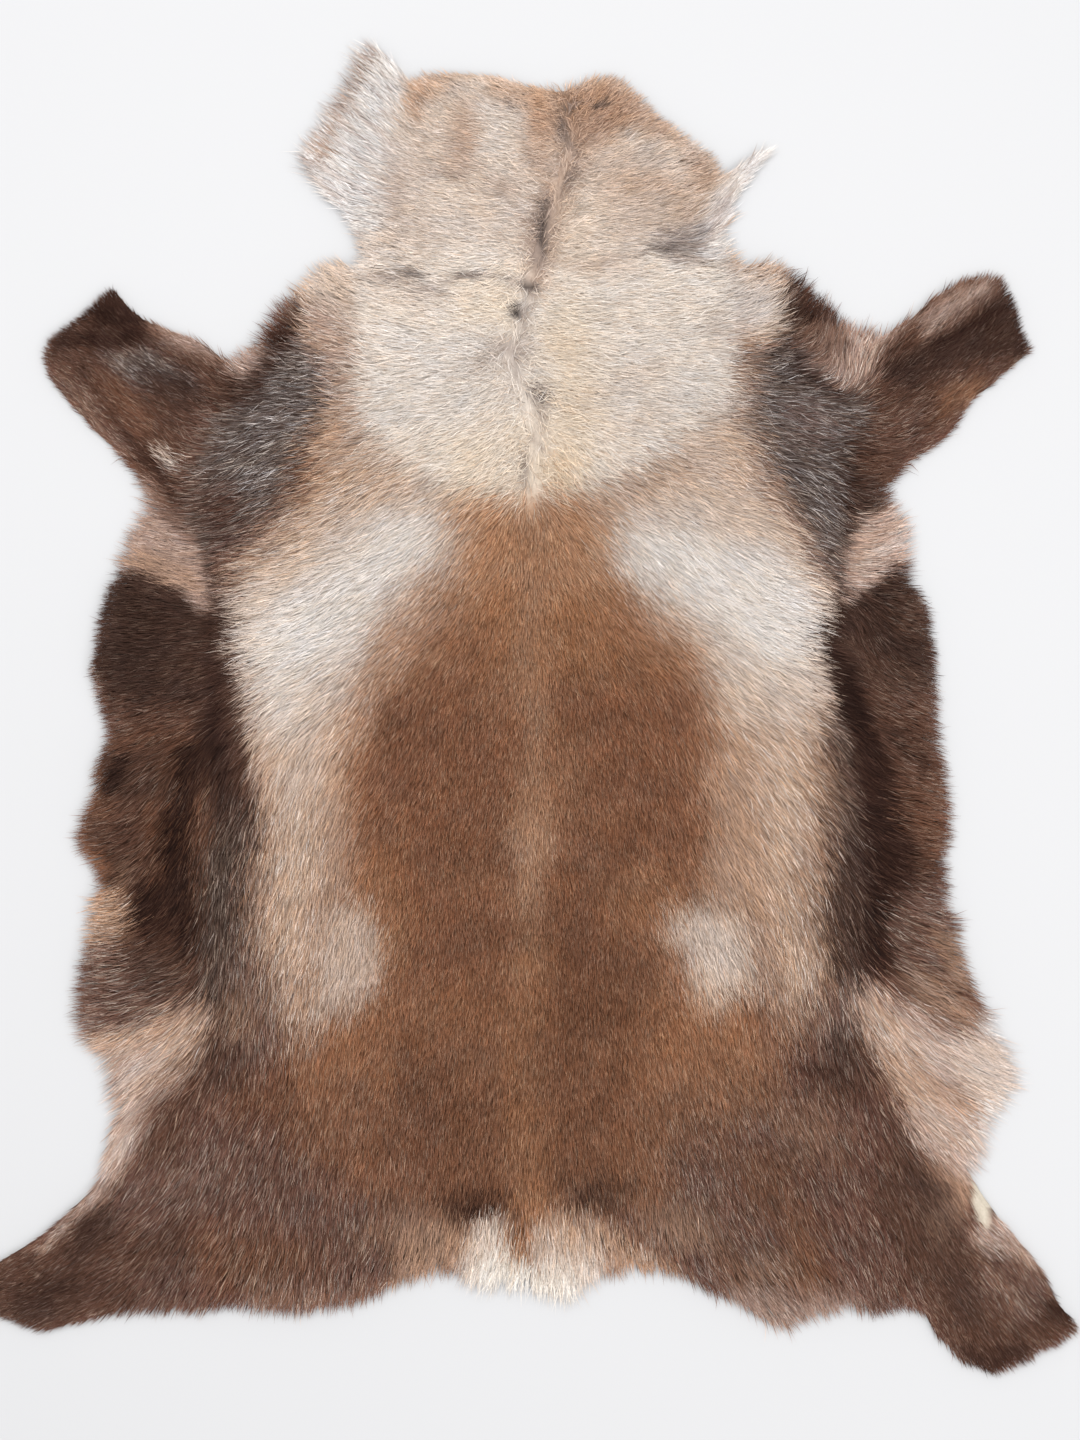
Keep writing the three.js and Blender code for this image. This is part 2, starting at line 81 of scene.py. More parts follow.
# ---- the coat's markings, laid one over the other; points are (across, down) on the board in mm ----
# ("patch", tone, soft edge, strength, outline)
# ("streak", tone, half width, soft edge, strength, line)
# ("spot", tone, soft edge, strength, middle, half sizes, turn in degrees)
MARKS = [
    ("patch", "bark", 1, 1.0, [(-60, -20), (1120, -20), (1120, 1440), (-60, 1440)]),
    # what shows at the outer tips of the pale parts
    ("patch", "tan", 14, 1.0, [(240, -20), (830, -20), (800, 250), (770, 300), (320, 300), (280, 290), (240, 200)]),
    ("patch", "mauve", 10, 1.0, [(40, 1030), (120, 1020), (120, 1190), (84, 1210), (60, 1120)]),
    ("patch", "pearl", 10, 1.0, [(980, 1010), (1060, 1010), (1060, 1120), (1000, 1190), (960, 1180)]),
    ("patch", "mauve", 10, 0.8, [(740, 1284), (800, 1302), (856, 1296), (870, 1340), (780, 1350), (730, 1310)]),
    ("patch", "mauve", 8, 1.0, [(110, 480), (150, 480), (130, 566), (96, 566)]),
    ("patch", "mauve", 8, 1.0, [(900, 490), (950, 500), (940, 560), (912, 560)]),
    # back and rump
    ("patch", "chestnut", 30, 1.0, [(440, 500), (530, 500), (610, 500), (640, 560), (690, 600), (720, 640), (730, 700), (730, 760), (724, 850), (700, 905), (700, 960), (730, 1000), (780, 1030), (775, 1120), (700, 1170), (640, 1210), (560, 1215), (440, 1215), (380, 1190), (300, 1150), (285, 1060), (340, 1020), (365, 940), (340, 880), (345, 760), (352, 690), (370, 640), (420, 580)]),
    ("patch", "walnut", 34, 0.75, [(385, 700), (500, 690), (508, 760), (500, 900), (490, 1000), (400, 990), (385, 880), (378, 780)]),
    ("patch", "walnut", 34, 0.7, [(560, 700), (690, 660), (698, 760), (690, 870), (640, 960), (560, 1000), (550, 820)]),
    ("patch", "umber", 34, 0.7, [(400, 1050), (520, 1030), (560, 940), (640, 950), (640, 1130), (600, 1195), (480, 1205), (400, 1180)]),
    ("patch", "ginger", 26, 0.9, [(448, 512), (620, 512), (630, 560), (605, 620), (590, 670), (540, 690), (500, 650), (462, 620), (440, 575)]),
    ("patch", "honey", 26, 0.9, [(446, 500), (614, 500), (618, 550), (596, 600), (470, 596), (440, 550)]),
    ("patch", "ginger", 20, 0.6, [(480, 600), (520, 600), (515, 700), (480, 690)]),
    ("patch", "ginger", 24, 0.8, [(556, 590), (610, 590), (620, 640), (600, 680), (560, 670)]),
    ("patch", "ginger", 24, 0.5, [(600, 620), (680, 630), (690, 670), (640, 690), (600, 670)]),
    ("patch", "toffee", 24, 0.5, [(640, 596), (690, 640), (716, 700), (700, 720), (676, 660), (630, 620)]),
    ("streak", "spine", 15, 18, 0.85, [(540, 505), (530, 600), (528, 700), (531, 800), (527, 900), (532, 960)]),
    ("spot", "spine", 20, 0.8, (530, 850), (24, 56), 0),
    ("spot", "sand", 16, 0.3, (530, 860), (14, 40), 0),
    ("streak", "ginger", 18, 18, 0.6, [(530, 960), (528, 1060), (530, 1180)]),
    ("spot", "honey", 14, 0.5, (438, 660), (16, 14), 0),
    ("spot", "honey", 14, 0.5, (500, 712), (12, 16), 0),
    ("spot", "toffee", 16, 0.4, (436, 620), (22, 12), 20),
    ("spot", "umber", 18, 0.7, (406, 730), (26, 20), 0),
    ("spot", "umber", 14, 0.7, (440, 850), (44, 10), 4),
    ("spot", "umber", 16, 0.6, (420, 790), (36, 10), 6),
    ("spot", "umber", 12, 0.45, (594, 672), (36, 8), -8),
    ("spot", "umber", 14, 0.45, (660, 712), (26, 12), 0),
    ("spot", "umber", 16, 0.5, (660, 790), (34, 10), -10),
    ("spot", "umber", 16, 0.5, (640, 838), (40, 8), -12),
    ("spot", "honey", 16, 0.45, (570, 780), (14, 30), 0),
    ("spot", "honey", 14, 0.4, (600, 820), (22, 10), 0),
    ("spot", "sand", 10, 0.25, (592, 860), (12, 6), 0),
    ("spot", "honey", 14, 0.4, (640, 885), (24, 8), 0),
    ("spot", "honey", 14, 0.4, (470, 880), (20, 8), 10),
    ("spot", "umber", 18, 0.6, (580, 920), (34, 16), 0),
    ("spot", "umber", 18, 0.6, (490, 930), (30, 18), 0),
    ("spot", "umber", 18, 0.5, (430, 960), (30, 12), 0),
    ("spot", "honey", 12, 0.35, (520, 980), (14, 10), 0),
    ("spot", "ginger", 14, 0.4, (440, 1000), (24, 10), 8),
    ("spot", "umber", 20, 0.5, (600, 1010), (40, 16), 0),
    ("spot", "honey", 12, 0.3, (480, 1060), (16, 10), 0),
    ("spot", "ginger", 14, 0.4, (600, 1060), (20, 12), 0),
    ("spot", "umber", 16, 0.5, (450, 1130), (30, 12), 0),
    ("patch", "ginger", 26, 0.3, [(300, 1055), (372, 1030), (398, 1075), (385, 1150), (322, 1150)]),
    ("patch", "bark", 26, 0.45, [(320, 1080), (420, 1070), (450, 1130), (430, 1200), (350, 1190), (310, 1140)]),
    ("patch", "ginger", 28, 0.35, [(655, 985), (760, 1015), (775, 1075), (705, 1110), (650, 1065)]),
    ("patch", "ginger", 20, 0.5, [(600, 880), (700, 880), (690, 930), (620, 930)]),
    ("patch", "ginger", 16, 0.55, [(350, 860), (400, 850), (410, 960), (375, 985)]),
    ("patch", "walnut", 16, 0.7, [(500, 690), (516, 690), (514, 980), (500, 1000), (492, 900)]),
    ("patch", "peat", 14, 1.0, [(440, 1190), (496, 1184), (494, 1208), (468, 1212), (444, 1208)]),
    ("patch", "sable", 16, 0.85, [(556, 1186), (624, 1182), (616, 1206), (575, 1208)]),
    ("spot", "spine", 14, 0.6, (530, 780), (12, 44), 0),
    # hips
    ("patch", "smoke", 46, 0.7, [(670, 1120), (760, 1080), (830, 1120), (840, 1200), (800, 1290), (720, 1290), (650, 1230)]),
    ("patch", "umber", 26, 0.6, [(720, 1150), (790, 1150), (800, 1220), (740, 1220)]),
    ("spot", "toffee", 18, 0.6, (680, 1226), (34, 14), 14),
    ("patch", "mauve", 12, 0.5, [(752, 1276), (800, 1290), (846, 1290), (850, 1320), (790, 1326), (744, 1300)]),
    ("spot", "toffee", 16, 0.35, (770, 1262), (30, 12), 0),
    ("patch", "bark", 20, 0.8, [(780, 1060), (880, 1060), (930, 1180), (880, 1240), (800, 1220), (790, 1120)]),
    ("patch", "sable", 18, 0.6, [(800, 1045), (858, 1045), (880, 1080), (850, 1110), (815, 1090)]),
    ("patch", "toffee", 20, 0.25, [(770, 1100), (830, 1100), (840, 1160), (790, 1160)]),
    ("patch", "umber", 16, 0.7, [(780, 1210), (815, 1215), (830, 1280), (800, 1300), (785, 1250)]),
    ("patch", "smoke", 26, 0.45, [(160, 1130), (300, 1150), (420, 1210), (400, 1290), (280, 1300), (180, 1290)]),
    ("patch", "umber", 22, 0.6, [(210, 1070), (300, 1080), (300, 1130), (220, 1120)]),
    ("patch", "walnut", 24, 0.5, [(320, 1140), (450, 1140), (460, 1200), (330, 1200)]),
    ("patch", "umber", 22, 0.5, [(180, 1220), (320, 1230), (330, 1280), (200, 1290)]),
    ("spot", "toffee", 18, 0.5, (404, 1228), (30, 12), -8),
    ("patch", "tan", 16, 0.3, [(250, 1286), (340, 1290), (420, 1262), (440, 1280), (380, 1300), (330, 1316), (250, 1322)]),
    # side bands
    ("patch", "dusk", 20, 1.0, [(196, 700), (240, 720), (256, 800), (254, 880), (250, 960), (246, 1050), (232, 1090), (196, 1090), (190, 960), (188, 860)]),
    ("patch", "dusk", 20, 1.0, [(812, 700), (850, 700), (872, 800), (890, 900), (878, 960), (858, 1000), (850, 1050), (820, 1050), (832, 980), (832, 900), (822, 820)]),
    ("patch", "tan", 24, 1.0, [(258, 740), (358, 700), (352, 780), (346, 860), (330, 900), (332, 950), (318, 1010), (300, 1042), (246, 1040), (252, 960), (262, 860)]),
    ("patch", "sand", 22, 0.9, [(262, 730), (330, 700), (322, 800), (318, 880), (302, 950), (290, 1000), (262, 1010), (270, 900), (272, 820)]),
    ("patch", "toffee", 18, 0.5, [(326, 760), (352, 760), (346, 880), (322, 950), (316, 880)]),
    ("patch", "smoke", 18, 0.9, [(226, 966), (258, 950), (284, 990), (290, 1050), (250, 1066), (220, 1040)]),
    ("spot", "toffee", 16, 0.3, (238, 1012), (14, 26), 0),
    ("spot", "fawn", 18, 0.4, (302, 760), (24, 34), 0),
    ("patch", "tan", 26, 1.0, [(712, 700), (812, 700), (818, 790), (824, 860), (830, 940), (832, 1020), (800, 1034), (776, 1010), (756, 930), (716, 900), (706, 850), (716, 790)]),
    ("patch", "sand", 20, 0.9, [(760, 700), (808, 700), (806, 790), (806, 860), (812, 940), (808, 1000), (784, 990), (780, 900), (768, 800)]),
    ("patch", "toffee", 20, 0.55, [(718, 760), (756, 770), (762, 850), (764, 920), (736, 920), (706, 870)]),
    ("spot", "smoke", 18, 0.8, (822, 1010), (22, 26), 10),
    ("patch", "sable", 16, 0.8, [(205, 690), (232, 706), (244, 760), (240, 810), (212, 830), (200, 760)]),
    ("patch", "sand", 14, 0.8, [(336, 900), (362, 892), (378, 920), (382, 960), (366, 1000), (330, 1026), (308, 1020), (326, 980), (322, 940)]),
    ("patch", "fawn", 10, 0.45, [(344, 908), (356, 902), (362, 926), (374, 938), (372, 962), (360, 986), (346, 1002), (326, 1014), (334, 984), (328, 962), (338, 934)]),
    ("patch", "sand", 16, 0.85, [(668, 908), (700, 900), (726, 910), (752, 930), (762, 970), (748, 1004), (716, 1018), (690, 1008), (684, 970), (664, 936)]),
    ("patch", "fawn", 12, 0.8, [(672, 914), (690, 926), (704, 912), (720, 928), (738, 928), (750, 950), (746, 986), (726, 998), (700, 1000), (690, 984), (698, 964), (682, 948)]),
    ("spot", "toffee", 12, 0.5, (766, 962), (8, 34), -8),
    # dark strip between the flank and the side: dark hair, with the groove's shadow painted into it
    ("streak", "sable", 13, 9, 1.0, [(202, 570), (205, 600), (211, 640), (217, 680), (220, 720), (218, 760)]),
    ("streak", "peat", 7, 7, 0.9, [(206, 620), (213, 650), (221, 680), (228, 710), (230, 740)]),
    ("spot", "pitch", 14, 0.9, (212, 738), (12, 46), 0),
    ("streak", "sable", 14, 9, 1.0, [(842, 560), (838, 600), (844, 650), (852, 700), (858, 740), (862, 800)]),
    ("streak", "peat", 12, 9, 1.0, [(842, 620), (848, 660), (858, 710), (870, 740), (886, 780), (893, 840), (888, 900), (878, 960)]),
    ("streak", "pitch", 8, 8, 0.9, [(850, 670), (858, 710), (872, 750), (888, 790), (894, 840), (888, 900), (876, 950)]),
    # white panels and what frames them
    ("patch", "sand", 24, 1.0, [(226, 600), (240, 556), (296, 506), (340, 450), (372, 430), (430, 480), (450, 520), (430, 570), (400, 610), (380, 660), (356, 700), (345, 730), (262, 760), (244, 700), (230, 650)]),
    ("patch", "honey", 14, 0.5, [(298, 492), (312, 450), (334, 408), (350, 426), (344, 462), (322, 492)]),
    ("streak", "tan", 14, 18, 0.85, [(458, 530), (448, 566), (424, 606), (396, 648), (372, 700), (358, 740)]),
    ("patch", "fawn", 18, 0.9, [(226, 606), (240, 590), (300, 560), (360, 510), (420, 490), (450, 520), (440, 564), (408, 600), (382, 640), (358, 684), (334, 722), (290, 745), (260, 740), (244, 700), (232, 655)]),
    ("patch", "chalk", 22, 1.0, [(260, 620), (300, 580), (350, 552), (380, 520), (430, 512), (440, 540), (410, 570), (384, 596), (366, 640), (330, 664), (290, 690), (266, 680), (250, 650)]),
    ("patch", "tan", 12, 0.4, [(318, 700), (352, 690), (356, 730), (320, 750)]),
    ("patch", "sand", 26, 1.0, [(600, 505), (640, 480), (690, 430), (742, 400), (764, 440), (776, 490), (800, 530), (822, 580), (830, 640), (836, 700), (812, 740), (770, 740), (720, 710), (690, 650), (650, 604), (612, 566)]),
    ("patch", "fawn", 20, 0.85, [(618, 520), (660, 500), (720, 480), (770, 520), (806, 564), (824, 600), (828, 640), (830, 690), (800, 720), (760, 706), (716, 676), (690, 630), (650, 596), (624, 570)]),
    ("patch", "chalk", 20, 1.0, [(624, 532), (670, 530), (710, 540), (752, 548), (796, 570), (816, 604), (820, 640), (800, 668), (760, 660), (730, 640), (706, 610), (670, 588), (640, 576)]),
    ("spot", "tan", 16, 0.5, (640, 596), (24, 10), 30),
    ("spot", "toffee", 14, 0.45, (772, 468), (10, 34), -14),
    # the gap between the flank and the side, which the pale flank hair combs over: dark hair painted darker still, as
    # the groove's painted shadow
    ("patch", "peat", 4, 0.75, [(212, 552), (223, 584), (228, 604), (232, 640), (236, 680), (243, 718), (248, 756), (238, 780), (224, 770), (212, 730), (204, 690), (203, 640), (205, 600)]),
    ("patch", "leg", 9, 0.6, [(218, 680), (232, 690), (240, 704), (250, 750), (254, 800), (244, 810), (226, 760)]),
    ("patch", "pitch", 5, 0.95, [(836, 572), (830, 604), (827, 640), (830, 680), (841, 716), (854, 748), (868, 792), (872, 850), (868, 900), (862, 950), (880, 960), (892, 904), (904, 850), (902, 800), (892, 760), (872, 720), (862, 680), (850, 640), (842, 604)]),
    ("patch", "dusk", 8, 0.7, [(836, 720), (852, 750), (864, 800), (868, 850), (864, 900), (858, 950), (842, 950), (846, 880), (844, 800)]),
    ("patch", "sable", 12, 0.75, [(830, 850), (866, 840), (866, 900), (856, 970), (828, 970), (826, 900)]),
    ("spot", "smoke", 12, 0.4, (222, 950), (8, 30), 0),
    ("spot", "chalk", 14, 0.6, (272, 702), (14, 24), -20),
    ("spot", "toffee", 12, 0.35, (836, 796), (10, 26), -8),
    ("spot", "smoke", 14, 0.4, (802, 900), (12, 60), 0),
    ("spot", "smoke", 12, 0.35, (268, 950), (12, 50), 0),
    # neck and chest
    ("patch", "ivory", 18, 1.0, [(346, 420), (348, 380), (346, 330), (338, 256), (368, 246), (372, 150), (400, 84), (540, 85), (650, 100), (716, 150), (722, 238), (742, 268), (744, 330), (740, 402), (700, 436), (650, 470), (610, 492), (530, 500), (440, 496), (400, 470)]),
    ("patch", "chalk", 20, 0.5, [(380, 330), (470, 330), (500, 380), (480, 430), (400, 440), (366, 400)]),
    ("patch", "chalk", 20, 0.45, [(640, 340), (720, 340), (730, 390), (680, 430), (620, 440), (600, 400)]),
    ("patch", "sand", 18, 0.45, [(356, 450), (420, 474), (444, 500), (400, 512), (360, 500), (346, 470)]),
    ("spot", "fawn", 18, 0.5, (718, 450), (26, 14), -36),
    ("patch", "butter", 24, 0.4, [(440, 440), (520, 420), (600, 400), (612, 450), (596, 496), (530, 504), (446, 498), (430, 470)]),
    ("patch", "butter", 20, 0.5, [(545, 300), (590, 300), (600, 400), (580, 470), (548, 480)]),
    ("patch", "butter", 16, 0.5, [(450, 284), (520, 270), (512, 330), (456, 322)]),
    ("spot", "wheat", 16, 0.4, (480, 498), (40, 8), 0),
    ("spot", "wheat", 14, 0.6, (560, 470), (22, 20), 0),
    ("spot", "wheat", 14, 0.45, (572, 410), (10, 14), 0),
    ("spot", "wheat", 12, 0.4, (566, 350), (12, 8), 0),
    ("spot", "sand", 14, 0.35, (624, 386), (34, 8), -25),
    ("spot", "sand", 14, 0.3, (642, 420), (30, 8), -25),
    # head
    ("patch", "fawn", 20, 1.0, [(366, 262), (350, 215), (395, 110), (404, 80), (500, 75), (540, 85), (620, 78), (660, 108), (724, 165), (722, 238), (640, 250), (560, 262), (450, 250)]),
    ("patch", "ivory", 16, 0.3, [(430, 170), (500, 190), (520, 236), (480, 262), (430, 250), (416, 200)]),
    ("spot", "tan", 14, 0.45, (655, 122), (20, 14), 20),
    ("patch", "fawn", 14, 0.5, [(345, 258), (420, 266), (470, 300), (420, 312), (360, 300)]),
    ("patch", "ivory", 16, 0.35, [(452, 244), (520, 240), (540, 262), (520, 300), (460, 296)]),
    ("patch", "butter", 16, 0.25, [(556, 190), (596, 180), (612, 240), (590, 280), (556, 270)]),
    ("patch", "ivory", 14, 0.5, [(480, 106), (514, 112), (530, 150), (500, 176), (476, 150)]),
    ("patch", "sand", 18, 0.5, [(590, 150), (650, 160), (700, 190), (700, 220), (640, 220), (600, 190)]),
    ("spot", "tan", 12, 0.75, (462, 140), (12, 34), 6),
    ("spot", "tan", 10, 0.45, (500, 190), (12, 8), 10),
    ("spot", "tan", 10, 0.35, (395, 190), (10, 30), 6),
    ("patch", "tan", 12, 0.75, [(402, 82), (446, 72), (452, 86), (420, 106), (410, 130), (400, 120)]),
    ("patch", "tan", 12, 0.7, [(488, 76), (545, 86), (556, 130), (544, 180), (524, 160), (526, 116), (490, 96)]),
    ("patch", "honey", 10, 0.45, [(532, 86), (552, 88), (556, 120), (546, 140), (532, 134), (530, 110)]),
    ("patch", "toffee", 14, 0.9, [(552, 88), (612, 78), (640, 96), (634, 124), (606, 140), (576, 150), (560, 120)]),
    ("patch", "honey", 12, 0.3, [(560, 92), (606, 84), (612, 104), (580, 124), (562, 120)]),
    ("patch", "toffee", 14, 0.6, [(630, 88), (664, 112), (690, 136), (680, 146), (650, 136), (628, 116)]),
    ("patch", "toffee", 14, 0.6, [(686, 144), (718, 156), (722, 182), (706, 200), (690, 176)]),
    ("spot", "tan", 12, 0.4, (650, 186), (30, 8), 6),
    ("spot", "tan", 12, 0.4, (690, 214), (16, 10), 6),
    ("spot", "tan", 8, 0.5, (606, 140), (14, 10), 0),
    ("patch", "ash", 9, 0.6, [(656, 228), (712, 222), (712, 244), (698, 264), (672, 262), (654, 250)]),
    ("patch", "soot", 6, 0.2, [(666, 236), (700, 240), (690, 254), (664, 252)]),
    ("streak", "pearl", 1, 3, 0.5, [(662, 240), (684, 234), (708, 226)]),
    ("streak", "pearl", 1, 3, 0.5, [(668, 256), (688, 250), (708, 240)]),
    ("spot", "soot", 5, 0.5, (668, 252), (9, 4), -10),
    ("spot", "soot", 5, 0.4, (700, 238), (4, 10), 20),
    ("streak", "soot", 1.4, 3, 0.5, [(636, 256), (650, 249), (668, 248)]),
    ("streak", "ash", 2, 5, 0.4, [(580, 272), (610, 264), (640, 254)]),
    ("streak", "ash", 3, 6, 0.4, [(664, 262), (690, 266), (712, 262)]),
    ("patch", "pearl", 8, 1.0, [(698, 234), (710, 204), (736, 166), (768, 134), (800, 112), (806, 140), (764, 184), (740, 218), (732, 262), (706, 262)]),
    ("streak", "ash", 1.5, 3, 0.4, [(704, 250), (714, 220), (734, 188)]),
    ("spot", "mauve", 10, 0.4, (716, 220), (8, 24), 20),
    # ear flap
    ("patch", "pearl", 12, 1.0, [(274, 150), (300, 110), (330, 60), (350, 14), (384, 14), (412, 56), (410, 84), (398, 150), (392, 210), (364, 244), (320, 226), (286, 180)]),
    ("patch", "fawn", 14, 0.8, [(390, 104), (408, 126), (402, 236), (378, 236), (386, 150)]),
    ("patch", "tan", 9, 0.8, [(406, 84), (424, 78), (430, 96), (418, 122), (406, 110)]),
    ("spot", "tan", 14, 0.35, (604, 268), (28, 9), 0),
    ("streak", "smoke", 4, 7, 0.85, [(308, 166), (318, 150), (334, 118), (344, 92), (356, 68), (372, 50)]),
    ("spot", "toffee", 6, 0.4, (320, 148), (9, 9), 0),
    ("spot", "smoke", 7, 0.3, (338, 108), (6, 14), 20),
    ("streak", "mauve", 1.5, 3, 0.45, [(346, 100), (366, 122), (392, 146)]),
    ("streak", "mauve", 1.5, 3, 0.4, [(338, 120), (360, 140), (388, 164)]),
    ("streak", "mauve", 1.5, 3, 0.45, [(328, 136), (350, 152), (380, 180)]),
    ("streak", "mauve", 1.5, 3, 0.4, [(318, 168), (346, 182), (376, 200)]),
    ("streak", "mauve", 2, 4, 0.5, [(304, 172), (318, 184), (340, 200)]),
    ("spot", "mauve", 8, 0.4, (392, 190), (6, 22), 6),
    # dark parting down the middle of the head and neck
    ("streak", "toffee", 15, 12, 0.5, [(566, 96), (562, 130), (574, 156), (560, 190), (544, 230), (538, 280)]),
    ("streak", "ash", 4, 5, 0.6, [(576, 104), (566, 112), (561, 126), (566, 140), (574, 152)]),
    ("streak", "soot", 1.5, 3, 0.5, [(562, 118), (560, 130), (568, 146)]),
    ("streak", "ash", 3, 5, 0.5, [(580, 158), (576, 172), (568, 188), (558, 202)]),
    ("streak", "soot", 1.2, 3, 0.5, [(576, 168), (568, 188)]),
    ("spot", "ash", 12, 0.4, (541, 238), (16, 34), 0),
    ("streak", "ash", 5, 6, 0.6, [(545, 196), (541, 225), (540, 262)]),
    ("streak", "soot", 2.2, 4, 0.6, [(543, 206), (540, 226), (543, 244), (540, 258), (538, 268)]),
    ("spot", "soot", 3, 0.7, (541, 236), (3, 12), 0),
    ("spot", "soot", 4, 0.85, (530, 286), (9, 4), 15),
    ("spot", "soot", 4, 1.0, (516, 312), (8, 6), 25),
    ("streak", "ash", 4, 6, 0.55, [(534, 296), (528, 312), (524, 330), (530, 340)]),
    ("spot", "ash", 8, 0.55, (506, 350), (20, 8), 0),
    ("spot", "ash", 8, 0.4, (482, 366), (16, 6), 0),
    ("streak", "ash", 3, 6, 0.5, [(520, 352), (518, 372), (510, 392)]),
    ("streak", "soot", 1.2, 3, 0.45, [(518, 358), (517, 378)]),
    ("spot", "ash", 6, 0.75, (541, 398), (9, 9), 0),
    ("spot", "soot", 4, 0.6, (540, 397), (5, 6), 0),
    ("streak", "ash", 3, 5, 0.6, [(540, 412), (538, 430), (534, 442), (542, 450)]),
    ("streak", "ash", 3, 5, 0.6, [(524, 458), (526, 476), (524, 492)]),
    ("streak", "soot", 1.5, 3, 0.5, [(525, 462), (526, 486)]),
    ("spot", "soot", 4, 0.9, (468, 277), (11, 3), 8),
    ("spot", "soot", 5, 0.75, (412, 275), (11, 4), 8),
    ("spot", "ash", 6, 0.6, (386, 280), (22, 4), 4),
    ("spot", "ash", 6, 0.5, (425, 292), (12, 4), 0),
    ("streak", "ash", 2, 3, 0.6, [(446, 286), (456, 279), (478, 277), (505, 280), (524, 284)]),
    ("spot", "ash", 7, 0.4, (445, 174), (20, 5), 8),
    ("spot", "soot", 3, 0.55, (511, 108), (2.5, 6), -20),
    ("streak", "soot", 1.6, 3, 0.8, [(596, 108), (602, 106), (608, 102)]),
    ("streak", "ash", 2, 4, 0.6, [(562, 110), (575, 104), (590, 102)]),
    ("spot", "ash", 8, 0.5, (716, 330), (6, 16), 0),
    ("spot", "ash", 6, 0.5, (735, 266), (14, 4), 0),
    # shoulders
    ("patch", "sand", 14, 1.0, [(292, 290), (318, 250), (346, 246), (350, 330), (346, 400), (350, 450), (330, 480), (306, 450), (318, 380), (296, 330)]),
    ("patch", "sand", 16, 1.0, [(738, 262), (780, 262), (800, 290), (802, 330), (772, 350), (764, 400), (778, 450), (752, 440), (744, 400), (744, 330)]),
    ("patch", "fawn", 12, 0.6, [(310, 262), (350, 250), (350, 300), (330, 330), (306, 290)]),
    ("patch", "blush", 14, 0.8, [(298, 306), (330, 310), (342, 350), (338, 386), (318, 352)]),
    ("patch", "smoke", 18, 0.4, [(740, 350), (766, 346), (772, 400), (770, 440), (748, 424), (740, 390)]),
    ("patch", "slate", 18, 1.0, [(262, 372), (292, 336), (318, 362), (328, 400), (318, 425), (300, 462), (272, 506), (232, 540), (205, 552), (184, 500), (200, 450), (232, 400)]),
    ("patch", "sable", 12, 0.5, [(206, 500), (240, 500), (240, 540), (214, 556)]),
    ("patch", "leg", 14, 0.7, [(192, 480), (236, 476), (246, 510), (214, 540), (196, 520)]),
    ("patch", "honey", 12, 0.4, [(296, 470), (314, 430), (336, 400), (344, 420), (330, 460), (306, 486)]),
    ("patch", "peat", 9, 0.85, [(232, 345), (262, 345), (280, 318), (291, 297), (300, 301), (292, 330), (274, 372), (250, 386), (240, 372), (262, 360)]),
    ("patch", "smoke", 14, 0.4, [(288, 430), (312, 420), (318, 450), (300, 480), (280, 470)]),
    ("patch", "smoke", 9, 0.3, [(274, 292), (292, 276), (302, 292), (294, 322), (278, 324)]),
    ("patch", "mauve", 9, 0.95, [(228, 338), (256, 342), (268, 352), (262, 366), (240, 388), (222, 372), (214, 352)]),
    ("patch", "sable", 9, 0.8, [(222, 380), (270, 376), (262, 396), (236, 412), (206, 400)]),
    ("patch", "slate", 18, 1.0, [(762, 352), (796, 338), (842, 380), (876, 396), (892, 440), (868, 500), (848, 548), (840, 590), (826, 560), (800, 520), (780, 486), (756, 430)]),
    ("patch", "ash", 24, 0.3, [(776, 390), (830, 400), (840, 440), (810, 460), (780, 440)]),
    ("patch", "pearl", 14, 0.7, [(726, 276), (764, 278), (786, 300), (780, 324), (750, 334), (730, 314)]),
    ("patch", "sable", 10, 0.85, [(845, 440), (886, 420), (898, 462), (880, 520), (850, 560), (838, 520)]),
    ("patch", "peat", 10, 0.9, [(792, 276), (800, 266), (822, 300), (846, 318), (832, 330), (802, 322), (792, 350), (806, 374), (850, 392), (840, 398), (796, 376), (784, 330)]),
    ("patch", "blush", 12, 0.9, [(806, 330), (846, 322), (862, 332), (900, 326), (920, 322), (900, 352), (872, 380), (848, 386), (818, 370), (802, 346)]),
    ("patch", "leg", 8, 0.6, [(800, 320), (840, 318), (850, 350), (820, 366), (800, 346)]),
    # left fore leg
    ("patch", "leg", 10, 1.0, [(40, 355), (60, 318), (118, 284), (140, 312), (200, 336), (228, 352), (222, 390), (206, 410), (190, 450), (178, 480), (190, 540), (160, 520), (130, 470), (78, 405)]),
    ("patch", "peat", 9, 0.9, [(62, 330), (90, 306), (118, 284), (124, 300), (146, 316), (150, 344), (120, 350), (90, 348), (54, 352)]),
    ("patch", "slate", 10, 0.8, [(100, 356), (150, 348), (200, 384), (206, 400), (170, 400), (130, 384)]),
    ("patch", "sable", 9, 0.8, [(142, 372), (184, 378), (214, 398), (190, 408), (150, 396)]),
    ("patch", "mauve", 9, 0.75, [(150, 318), (204, 330), (230, 350), (216, 362), (170, 348)]),
    ("spot", "smoke", 10, 0.35, (190, 440), (16, 10), 40),
    ("patch", "smoke", 6, 0.55, [(54, 366), (84, 380), (110, 426), (128, 454), (118, 466), (80, 420), (48, 380)]),
    ("streak", "mauve", 1.5, 3, 0.6, [(62, 376), (82, 404), (104, 436), (122, 462)]),
    ("streak", "peat", 4, 5, 0.7, [(124, 428), (140, 452), (158, 478), (176, 494)]),
    ("patch", "walnut", 10, 0.4, [(88, 372), (130, 386), (150, 420), (140, 440), (108, 416)]),
    ("streak", "smoke", 2, 4, 0.5, [(66, 372), (84, 394), (104, 424), (122, 448)]),
    ("streak", "smoke", 2, 4, 0.35, [(90, 368), (120, 396), (150, 428)]),
    ("streak", "peat", 2, 4, 0.5, [(78, 366), (98, 392), (120, 424)]),
